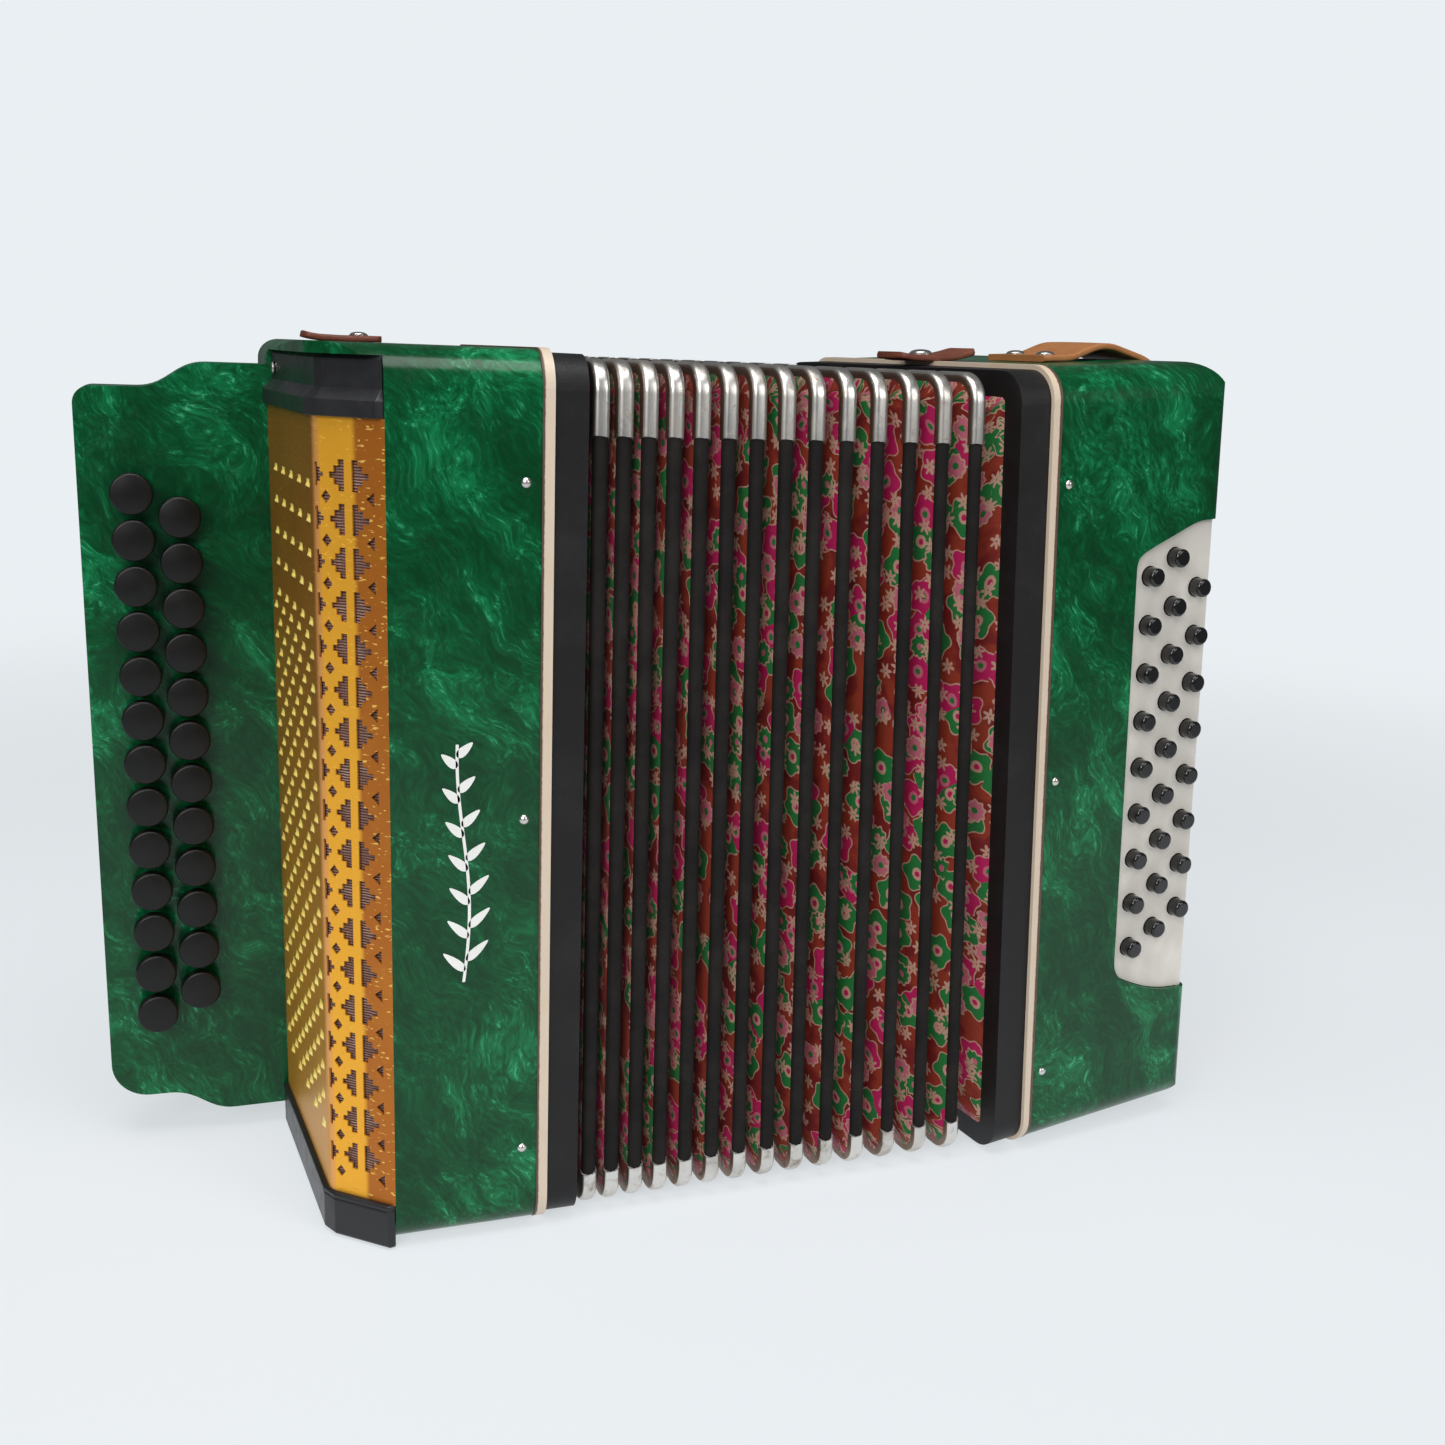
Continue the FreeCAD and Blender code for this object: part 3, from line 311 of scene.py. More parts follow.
@dataclass(frozen=True)
class Pearloid:
    """Glossy celluloid with pearly strokes that swirl through it."""

    name: str = Finish.GREEN.value
    deep: Colour = (0.0004, 0.040, 0.0110)
    body: Colour = (0.0010, 0.080, 0.0235)
    light: Colour = (0.0060, 0.190, 0.0660)
    glint: Colour = (0.0750, 0.470, 0.2400)
    stroke_angle: float = math.radians(33)
    stroke_stretch: float = 0.30

    def material(self) -> bpy.types.Material:
        """Return the finish as a material.

        Returns:
            The finished material.
        """
        nodes = Nodes(self.name)
        place = nodes.place()
        swirl = nodes.noise(place, 26.0, 2.0)[1]
        swirl = nodes.vector("SUBTRACT", swirl, (0.5, 0.5, 0.5))
        bent = nodes.vector("ADD", place, nodes.scaled(swirl, 0.042))
        turned = nodes.add("ShaderNodeVectorRotate", {"rotation_type": "Y_AXIS"},
                           {"Vector": bent, "Angle": self.stroke_angle})[0]
        drawn = nodes.vector("MULTIPLY", turned, (1.0, 1.0, self.stroke_stretch))
        broad = nodes.noise(drawn, 75.0, 3.0, 0.6, 0.4)[0]
        strokes = nodes.noise(drawn, 520.0, 4.0, 0.68, 0.5)[0]
        cloud = nodes.noise(place, 20.0, 3.0, 0.55)[0]
        level = 0.36 * broad + 0.34 * strokes + 0.30 * cloud
        colour = nodes.mix(level.step(0.40, 0.56), self.deep, self.body)
        colour = nodes.mix(level.step(0.50, 0.64), colour, self.light)
        sparks = strokes.step(0.56, 0.72) * broad.step(0.44, 0.62) * cloud.step(0.36, 0.6)
        colour = nodes.mix(sparks * 0.8, colour, self.glint)
        wear = nodes.noise(place, 90.0, 5.0, 0.7)[0]
        return nodes.finish({
            "Base Color": colour,
            "Roughness": 0.20 + 0.16 * wear.step(0.45, 0.8),
            "Specular IOR Level": 0.30,
            "Normal": nodes.bump(broad, 0.5 * MM, 0.3),
        })


@dataclass(frozen=True)
class EdgeStrip:
    """Cream celluloid with a raw brown edge where it meets the green covering.

    across is the strip's own X as a direction in the row frame.
    """

    name: str
    edge_x: float
    across: Colour
    colour: Colour = (0.66, 0.54, 0.42)
    raw: Colour = (0.10, 0.055, 0.035)

    def material(self) -> bpy.types.Material:
        """Return the finish as a material.

        Returns:
            The finished material.
        """
        nodes = Nodes(self.name)
        place = nodes.place()
        along = nodes.vector("DOT_PRODUCT", place, self.across)
        ragged = nodes.noise(place, 700.0, 2.0)[0] * (0.5 * MM)
        from_edge = abs(along + ragged - self.edge_x)
        stain = nodes.noise(place, 45.0, 4.0, 0.6)[0]
        colour = nodes.mix(stain.step(0.42, 0.8) * 0.4, self.colour, (0.60, 0.45, 0.28))
        colour = nodes.mix(from_edge.step(1.35 * MM, 0.85 * MM), colour, self.raw)
        return nodes.finish({
            "Base Color": colour,
            "Roughness": 0.32 + 0.2 * stain,
            "Normal": nodes.bump(nodes.noise(place, 160.0, 3.0)[0], 0.3 * MM, 0.3),
        })


@dataclass(frozen=True)
class Leather:
    """Leather or leatherette: a pebbled grain over soft, uneven colour."""

    name: str
    colour: Colour
    worn: Colour
    grain: float = 900.0
    depth: float = 0.10 * MM
    roughness: float = 0.45
    shine: float = 0.4

    def material(self) -> bpy.types.Material:
        """Return the finish as a material.

        Returns:
            The finished material.
        """
        nodes = Nodes(self.name)
        place = nodes.place()
        pebbles = nodes.add("ShaderNodeTexVoronoi", {"feature": "DISTANCE_TO_EDGE"},
                            {"Vector": place, "Scale": self.grain})[0]
        creases = nodes.noise(place, 60.0, 4.0, 0.6, 1.0)[0]
        patch = nodes.noise(place, 24.0, 5.0, 0.65)[0]
        colour = nodes.mix(patch.step(0.45, 0.75) * 0.6, self.colour, self.worn)
        colour = nodes.mix(creases.step(0.62, 0.72) * 0.25, colour, self.worn)
        grain = nodes.bump(pebbles.step(0.0, 0.25), self.depth, 0.5)
        return nodes.finish({
            "Base Color": colour,
            "Roughness": self.roughness + 0.2 * patch - 0.1,
            "Specular IOR Level": self.shine,
            "Normal": nodes.bump(creases, 0.6 * MM, 0.35, grain),
        })


@dataclass(frozen=True)
class BellowsTape:
    """Black woven tape glued over the folds, scuffed paler on its ridge."""

    name: str = "bellows_tape"
    colour: Colour = (0.0050, 0.0038, 0.0032)
    scuffed: Colour = (0.0150, 0.0130, 0.0115)

    def material(self) -> bpy.types.Material:
        """Return the finish as a material.

        Returns:
            The finished material.
        """
        nodes = Nodes(self.name)
        place = nodes.place()
        threads = nodes.noise(nodes.vector("MULTIPLY", place, (1.0, 1.0, 0.4)), 1800.0, 2.0)[0]
        rub = nodes.noise(place, 40.0, 5.0, 0.7)[0]
        colour = nodes.mix(rub.step(0.35, 0.75), self.colour, self.scuffed)
        return nodes.finish({
            "Base Color": colour,
            "Roughness": 0.62 + 0.2 * threads,
            "Specular IOR Level": 0.22,
            "Normal": nodes.bump(threads, 0.12 * MM, 0.5),
        })


@dataclass(frozen=True)
class Metal:
    """Bright metal with tarnish and fine scratches."""

    name: str
    colour: Colour
    tarnish: Colour
    roughness: float = 0.25
    tarnish_share: float = 0.5
    scratch: float = 1400.0

    def material(self) -> bpy.types.Material:
        """Return the finish as a material.

        Returns:
            The finished material.
        """
        nodes = Nodes(self.name)
        place = nodes.place()
        spots = nodes.noise(place, 190.0, 6.0, 0.7, 0.4)[0]
        film = nodes.noise(place, 45.0, 3.0, 0.6)[0]
        lines = nodes.noise(nodes.vector("MULTIPLY", place, (1.0, 1.0, 0.06)), self.scratch, 2.0)[0]
        dull = (spots.step(0.5, 0.72) * 0.6 + film.step(0.4, 0.75) * 0.5) * self.tarnish_share
        return nodes.finish({
            "Base Color": nodes.mix(dull, self.colour, self.tarnish),
            "Metallic": 1.0,
            "Roughness": self.roughness + 0.35 * dull + 0.08 * lines,
            "Normal": nodes.bump(lines, 0.03 * MM, 0.4),
        })


@dataclass(frozen=True)
class GiltSheet:
    """Gilt sheet with pressed dashes, carrying painted light: a painted orange reflection towards the
    case, painted shade on the side facet, a painted highlight along the bend and painted glints on the
    dashes.
    """

    name: str = Finish.GILT.value
    bright: Colour = (0.92, 0.44, 0.030)
    # The next colour is the painted orange reflection on the front face towards the case.
    deep: Colour = (0.46, 0.140, 0.012)
    # The next colour is painted shade on the side facet.
    side: Colour = (0.27, 0.100, 0.012)
    # The next colour is a painted highlight along the bend.
    bend_highlight: Colour = (0.80, 0.36, 0.130)
    # The next colour is a painted glint on the pressed dashes.
    dash_glint: Colour = (1.00, 0.62, 0.130)
    reflection_edge_x: float = -36.8 * MM
    bend_x: float = -49.2 * MM

    def material(self) -> bpy.types.Material:
        """Return the finish as a material.

        Returns:
            The finished material.
        """
        nodes = Nodes(self.name)
        place = nodes.place()
        x, _, z = nodes.split(place)
        film = nodes.noise(place, 30.0, 4.0, 0.6)[0]
        streak = nodes.noise(nodes.vector("MULTIPLY", place, (1.0, 1.0, 0.08)), 120.0, 2.0)[0]
        dashes = nodes.noise(nodes.vector("MULTIPLY", place, (0.30, 0.30, 1.0)), 1100.0, 1.0)[0]
        dashes = dashes.step(0.64, 0.72)
        # Painted reflection: the front face turns a redder orange towards the case.
        painted_reflection_zone = x.step(self.reflection_edge_x - 1.0 * MM, self.reflection_edge_x + 1.0 * MM)
        colour = nodes.mix(painted_reflection_zone * (0.75 + 0.5 * film), self.bright, self.deep)
        # Painted shade: the side facet is painted dark brown, lighter towards the foot.
        shaded_side_mask = x.step(self.bend_x + 0.6 * MM, self.bend_x - 0.6 * MM)
        lower = z.step(310 * MM, 60 * MM)
        side = nodes.mix(lower * 0.42 + film * 0.2, self.side, self.bright)
        colour = nodes.mix(shaded_side_mask, colour, side)
        # Painted highlight: a paler pink band along the bend.
        bend_highlight_mask = abs(x - self.bend_x - 0.4 * MM).step(1.3 * MM, 0.5 * MM)
        colour = nodes.mix(bend_highlight_mask * 0.65, colour, self.bend_highlight)
        # Painted glints: the pressed dashes are painted bright, most of all in the painted reflection.
        colour = nodes.mix(dashes * (0.2 + 0.75 * painted_reflection_zone), colour, self.dash_glint)
        return nodes.finish({
            "Base Color": colour,
            "Metallic": 0.55,
            "Roughness": 0.30 + 0.15 * film + 0.05 * streak,
            "Normal": nodes.bump(dashes, 0.16 * MM, 0.5),
        })


@dataclass(frozen=True)
class Gloss:
    """Moulded plastic or lacquer with dust and faint rub marks."""

    name: str
    colour: Colour
    roughness: float = 0.3
    coat: float = 0.0
    shine: float = 0.4

    def material(self) -> bpy.types.Material:
        """Return the finish as a material.

        Returns:
            The finished material.
        """
        nodes = Nodes(self.name)
        place = nodes.place()
        rub = nodes.noise(place, 120.0, 5.0, 0.7)[0]
        dust = nodes.noise(place, 35.0, 3.0, 0.6)[0]
        pale = tuple(min(1.0, channel * 1.5 + 0.006) for channel in self.colour)
        return nodes.finish({
            "Base Color": nodes.mix(dust.step(0.4, 0.8) * 0.5, self.colour, pale),
            "Specular IOR Level": self.shine,
            "Roughness": self.roughness + 0.14 * rub.step(0.4, 0.75),
            "Coat Weight": self.coat,
            "Normal": nodes.bump(rub, 0.05 * MM, 0.3),
        })


@dataclass(frozen=True)
class Wood:
    """Plain pale wood with grain along Z."""

    name: str = Finish.WOOD.value

    def material(self) -> bpy.types.Material:
        """Return the finish as a material.

        Returns:
            The finished material.
        """
        nodes = Nodes(self.name)
        place = nodes.place()
        grain = nodes.noise(nodes.vector("MULTIPLY", place, (1.0, 1.0, 0.07)), 260.0, 4.0, 0.6, 0.8)[0]
        return nodes.finish({
            "Base Color": nodes.mix(grain.step(0.3, 0.7), (0.36, 0.22, 0.11), (0.55, 0.38, 0.21)),
            "Roughness": 0.5 + 0.2 * grain,
            "Normal": nodes.bump(grain, 0.1 * MM, 0.4),
        })


@dataclass(frozen=True)
class GrilleWeave:
    """Coarse pinkish-brown weave with pale horizontal threads."""

    name: str = Finish.WEAVE.value
    thread: float = 1.05 * MM

    def material(self) -> bpy.types.Material:
        """Return the finish as a material.

        Returns:
            The finished material.
        """
        nodes = Nodes(self.name)
        x, y, z = nodes.split(nodes.place())
        across = (x * -1.0 + y * 0.8) / self.thread
        up = z / self.thread
        wobble = nodes.noise(nodes.place(), 500.0, 2.0)[0] * 0.5
        weft = abs(nodes.maths("SINE", (up + wobble) * math.pi))
        warp = abs(nodes.maths("SINE", (across + wobble) * (math.pi * 0.7)))
        tone = nodes.noise(nodes.place(), 130.0, 3.0, 0.6)[0]
        colour = nodes.mix(weft.step(0.25, 0.85), (0.040, 0.015, 0.012), (0.25, 0.125, 0.095))
        colour = nodes.mix(warp.step(0.25, 0.0) * 0.85, colour, (0.045, 0.018, 0.014))
        colour = nodes.mix(weft.step(0.9, 1.0) * tone.step(0.45, 0.7), colour, (0.66, 0.47, 0.38))
        return nodes.finish({
            "Base Color": colour,
            "Roughness": 0.75,
            "Normal": nodes.bump(weft * 0.7 + warp * 0.3, 0.4 * MM, 0.8),
        })


@dataclass(frozen=True)
class FloralSatin:
    """Printed satin: brick ground, green and magenta blooms, small cream blossoms."""

    name: str = Finish.SATIN.value
    ground: Colour = (0.235, 0.030, 0.014)
    ground_dark: Colour = (0.150, 0.012, 0.012)
    magenta: Colour = (0.40, 0.010, 0.085)
    green: Colour = (0.013, 0.150, 0.035)
    cream: Colour = (0.46, 0.27, 0.20)
    rose: Colour = (0.46, 0.12, 0.17)

    def blossom(self, nodes: Nodes, cloth: Value, scale: float, shift: float, reach: float,
                petals: float, lobe: float) -> tuple[Value, Value, Value]:
        """Return one family of blossoms scattered over the cloth.

        Args:
            nodes: The material's nodes.
            cloth: Coordinates along the cloth.
            scale: Blossoms to the metre.
            shift: Moves the scatter, so that families differ.
            reach: The blossom's radius, as a share of the spacing.
            petals: Number of petals.
            lobe: How deep the notches between petals are.

        Returns:
            The distance from the blossom's outline (negative inside), the distance from its
            middle and a random number for the blossom.
        """
        moved = nodes.vector("ADD", cloth, (shift, shift * 1.7, 0.0))
        cells = nodes.add("ShaderNodeTexVoronoi", {"voronoi_dimensions": "2D"},
                          {"Vector": moved, "Scale": scale, "Randomness": 0.85})
        offset = nodes.scaled(nodes.vector("SUBTRACT", moved, cells[2]), scale)
        x, y, _ = nodes.split(offset)
        chance = nodes.split(cells[1])[0]
        angle = nodes.maths("ARCTAN2", y, x) + chance * 6.0
        radius = nodes.vector("LENGTH", offset)
        outline = reach * (1.0 + lobe * nodes.maths("SINE", angle * petals))
        return radius - outline, radius, chance

    def material(self) -> bpy.types.Material:
        """Return the finish as a material.

        Returns:
            The finished material.
        """
        nodes = Nodes(self.name)
        cloth = nodes.weave()
        wander = nodes.vector("SUBTRACT", nodes.noise(cloth, 260.0, 2.0)[1], (0.5, 0.5, 0.5))
        cloth = nodes.vector("ADD", cloth, nodes.scaled(wander, 1.3 * MM))
        shade = nodes.noise(cloth, 70.0, 2.0)[0]
        colour = nodes.mix(shade.step(0.45, 0.6), self.ground, self.ground_dark)

        bloom, middle, chance = self.blossom(nodes, cloth, 58.0, 0.31, 0.42, 5.0, 0.13)
        rim = bloom.step(0.035, 0.015)
        colour = nodes.mix(rim, colour, self.cream)
        petal = nodes.mix(chance > 0.48, self.magenta, self.green)
        colour = nodes.mix(bloom.step(0.0, -0.02), colour, petal)
        eye_rim = nodes.mix(chance > 0.48, self.rose, self.cream)
        colour = nodes.mix(middle.step(0.17, 0.145), colour, eye_rim)
        colour = nodes.mix(middle.step(0.085, 0.065), colour,
                           nodes.mix(chance > 0.48, self.green, self.magenta))

        bloom, middle, chance = self.blossom(nodes, cloth, 62.0, 0.77, 0.27, 9.0, 0.10)
        shown = chance > 0.45
        colour = nodes.mix(bloom.step(0.05, 0.03) * shown, colour, self.cream)
        colour = nodes.mix(bloom.step(0.0, -0.02) * shown, colour,
                           nodes.mix(chance > 0.72, self.green, self.rose))
        colour = nodes.mix(middle.step(0.10, 0.08) * shown, colour,
                           nodes.mix(chance > 0.72, self.rose, self.green))

        bloom, middle, chance = self.blossom(nodes, cloth, 100.0, 0.13, 0.235, 6.0, 0.42)
        shown = (chance > 0.30) * (1.0 - (middle < 0.035))
        colour = nodes.mix(bloom.step(0.03, -0.02) * shown, colour, self.cream)

        s = nodes.split(cloth)[0]
        ribs = abs(nodes.maths("SINE", s * (math.pi / (0.45 * MM))))
        crease = nodes.noise(nodes.vector("MULTIPLY", cloth, (1.0, 0.25, 1.0)), 190.0, 3.0, 0.6, 0.8)[0]
        weave = nodes.bump(ribs, 0.05 * MM, 0.35)
        return nodes.finish({
            "Base Color": colour,
            "Roughness": 0.40 + 0.15 * crease,
            "Specular IOR Level": 0.35,
            "Sheen Weight": 0.08,
            "Sheen Roughness": 0.35,
            "Normal": nodes.bump(crease, 0.7 * MM, 0.55, weave),
        })


@dataclass(frozen=True)
class KeyFinish:
    """A treble key: satin black button and stem, bright lever, felted wooden pallet."""

    name: str = "treble_key"
    board_back: float = 0.0
    pallet_x: float = 0.0

    def material(self) -> bpy.types.Material:
        """Return the finish as a material.

        Returns:
            The finished material.
        """
        nodes = Nodes(self.name)
        place = nodes.place()
        x, y, _ = nodes.split(place)
        rub = nodes.noise(place, 160.0, 4.0, 0.7)[0]
        black = nodes.mix(rub.step(0.4, 0.8) * 0.5, (0.0030, 0.0030, 0.0026), (0.0095, 0.0095, 0.0085))
        lever = y > self.board_back
        pallet = x > self.pallet_x
        colour = nodes.mix(lever, black, (0.62, 0.61, 0.58))
        colour = nodes.mix(pallet, colour, (0.42, 0.30, 0.18))
        metal = lever * (1.0 - pallet)
        return nodes.finish({
            "Base Color": colour,
            "Metallic": metal,
            "Roughness": 0.33 + 0.12 * rub + 0.15 * pallet,
            "Specular IOR Level": 0.32,
            "Normal": nodes.bump(rub, 0.06 * MM, 0.35),
        })


# ------------------------------------------------------------------- helpers

def link_new(name: str, data: bpy.types.ID) -> bpy.types.Object:
    """Return a new object that holds the data, linked to the scene."""
    made = bpy.data.objects.new(name, data)
    bpy.context.scene.collection.objects.link(made)
    return made


def mesh_piece(name: str, vertices: Sequence[Sequence[float]], faces: Sequence[Sequence[int]],
               material: bpy.types.Material, smooth: bool = True,
               sharp: float | None = math.radians(38)) -> bpy.types.Object:
    """Make a mesh object.

    Args:
        name: The object's name.
        vertices: Its points, in the row frame.
        faces: Its faces, by vertex index.
        material: Its finish.
        smooth: Whether its faces are shaded smooth.
        sharp: Edges bent by more than this angle stay crisp.

    Returns:
        The object, linked to the scene.
    """
    mesh = bpy.data.meshes.new(name)
    mesh.from_pydata([tuple(point) for point in vertices], [], faces)
    work = bmesh.new()
    work.from_mesh(mesh)
    bmesh.ops.remove_doubles(work, verts=work.verts, dist=1e-7)
    if sharp is not None:
        bmesh.ops.recalc_face_normals(work, faces=work.faces)
    work.to_mesh(mesh)
    work.free()
    mesh.materials.append(material)
    if smooth:
        mesh.shade_smooth()
        if sharp is not None:
            mesh.set_sharp_from_angle(angle=sharp)
    return link_new(name, mesh)


def grid_faces(rows: int, columns: int, closed_rows: bool = False,
               closed_columns: bool = False) -> list[tuple[int, ...]]:
    """Return the quads of a grid whose points are stored row by row.

    Args:
        rows: Number of rows.
        columns: Number of points in a row.
        closed_rows: Whether the last row joins the first.
        closed_columns: Whether each row's last point joins its first.

    Returns:
        The faces.
    """
    faces = []
    for i in range(rows if closed_rows else rows - 1):
        for j in range(columns if closed_columns else columns - 1):
            k, l = (i + 1) % rows, (j + 1) % columns
            faces.append((i * columns + j, i * columns + l, k * columns + l, k * columns + j))
    return faces


def set_weave(piece: bpy.types.Object, places: Sequence[Pair]) -> None:
    """Store where each point lies on the flat cloth, in metres.

    Args:
        piece: The cloth's object.
        places: One place for each of the mesh's points.
    """
    layer = piece.data.uv_layers.new(name="weave")
    for loop in piece.data.loops:
        layer.data[loop.index].uv = places[loop.vertex_index]


def paint(node: str, material: bpy.types.Material) -> None:
    """Give a CAD node its finish.

    Args:
        node: The node's name.
        material: The finish.
    """
    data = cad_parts[node].data
    data.materials.clear()
    data.materials.append(material)


# --------------------------------------------------------------- the bellows

@dataclass(frozen=True)
class Fan:
    """How the bellows opens from the treble case to the bass case: the folds' places."""

    near_x: float = 44.3 * MM
    depth: float = 180.0 * MM
    height: float = 340.0 * MM
    thickness: float = 6.4 * MM
    count: int = 14
    first_gap: float = 1.3 * MM
    gap_step: float = 0.28 * MM
    last_gap: float = 8.2 * MM
    closed_gap: float = 0.3 * MM
    yaw: float = math.radians(9.4)
    lean: float = math.radians(3.1)
    corner: float = 14.0 * MM
    inset: float = 2.6 * MM

    def gaps(self) -> list[float]:
        """Return the gaps between neighbours, from the treble frame to the bass frame."""
        return [self.first_gap + self.gap_step * i for i in range(self.count)] + [self.last_gap]

    def share(self, number: int) -> float:
        """Return how much of the fan has opened at a fold; number 0 is the treble frame."""
        gaps = self.gaps()
        return sum(gaps[:number]) / sum(gaps)

    def travel_share(self, number: int) -> float:
        """Return the share of the bass case's travel that a fold takes."""
        free = [gap - self.closed_gap for gap in self.gaps()]
        return sum(free[:number]) / sum(free)

    def pose(self, number: int) -> Matrix:
        """Return the pose of a fold's left face; one past the last fold is the bass frame.

        Args:
            number: The fold's number, from 1.

        Returns:
            The pose, with the local origin at the section's lower front corner.
        """
        share = self.share(number)
        corner = self.near_x + self.thickness * (number - 1) + sum(self.gaps()[:number])
        turn = Matrix.Rotation(self.yaw * share, 4, "Z") @ Matrix.Rotation(-self.lean * share, 4, "Y")
        x = (corner + self.depth * math.sin(self.yaw * share)
             + self.height * math.sin(self.lean * share) * math.cos(self.yaw * share))
        return Matrix.Translation((x, -self.depth / 2, 0.0)) @ turn

    def right_face(self, number: int) -> Matrix:
        """Return the pose of a fold's right face; number 0 is the treble frame's."""
        if number == 0:
            return Matrix.Translation((self.near_x, -self.depth / 2, 0.0))
        return self.pose(number) @ Matrix.Translation((self.thickness, 0.0, 0.0))

    def outline(self) -> "Outline":
        """Return the outline that the folds and the cloth share."""
        return Outline(self.depth - 2 * self.inset, self.height - 2 * self.inset,
                       self.corner - self.inset)

    def body(self, number: int) -> str:
        """Return the name of the body that a fold belongs to."""
        if number == 0:
            return "treble_case"
        return "bass_case" if number > self.count else f"bellows_fold_{number:02d}"


@dataclass(frozen=True)
class Outline:
    """A rounded rectangle across the bellows, sampled so that insets of it stay in step."""

    depth: float
    height: float
    radius: float
    coarse: float = 4.0 * MM
    corner_steps: int = 14
    near_corner: float = 24.0 * MM
    fine: float = 1.2 * MM

    def stations(self) -> list[tuple[int, float, bool]]:
        """Return the places where the outline is sampled, all the way round.

        Side n is followed by corner n: the front, the top, the rear and the bottom.

        Returns:
            For each, its side or corner number, the share along it and whether it is a corner.
        """
        made = []
        for side in range(4):
            length = (self.height if side % 2 == 0 else self.depth) - 2 * self.radius
            edge = [self.fine * i / length for i in range(int(self.near_corner / self.fine))]
            middle = max(2, round((length - 2 * self.near_corner) / self.coarse))
            span = 1.0 - 2 * self.near_corner / length
            inner = [self.near_corner / length + span * i / middle for i in range(middle)]
            ending = [1.0 - self.near_corner / length + share for share in edge]
            made += [(side, share, False) for share in edge + inner + ending]
            made += [(side, i / self.corner_steps, True) for i in range(self.corner_steps)]
        return made

    def point(self, station: tuple[int, float, bool], inset: float) -> Pair:
        """Return a station's (y, z) on the outline moved inward.

        Args:
            station: One of stations().
            inset: How far inward.

        Returns:
            The point, with the section's lower front corner at the origin.
        """
        side, share, corner = station
        radius = max(self.radius - inset, 0.8 * MM)
        low_y, low_z = inset + radius, inset + radius
        high_y, high_z = self.depth - low_y, self.height - low_z
        centres = [(low_y, high_z), (high_y, high_z), (high_y, low_z), (low_y, low_z)]
        if corner:
            angle = math.pi - (side + share) * math.pi / 2
            y, z = centres[side]
            return y + radius * math.cos(angle), z + radius * math.sin(angle)
        before, after = centres[side - 1], centres[side]
        out = [(-1, 0), (0, 1), (1, 0), (0, -1)][side]
        y = before[0] + (after[0] - before[0]) * share + out[0] * radius
        z = before[1] + (after[1] - before[1]) * share + out[1] * radius
        return y, z

    def lengths(self) -> list[float]:
        """Return the distance along the outline of each station, and the whole way round."""
        points = [self.point(station, 0.0) for station in self.stations()]
        made = [0.0]
        for here, there in zip(points, points[1:] + points[:1]):
            made.append(made[-1] + math.dist(here, there))
        return made


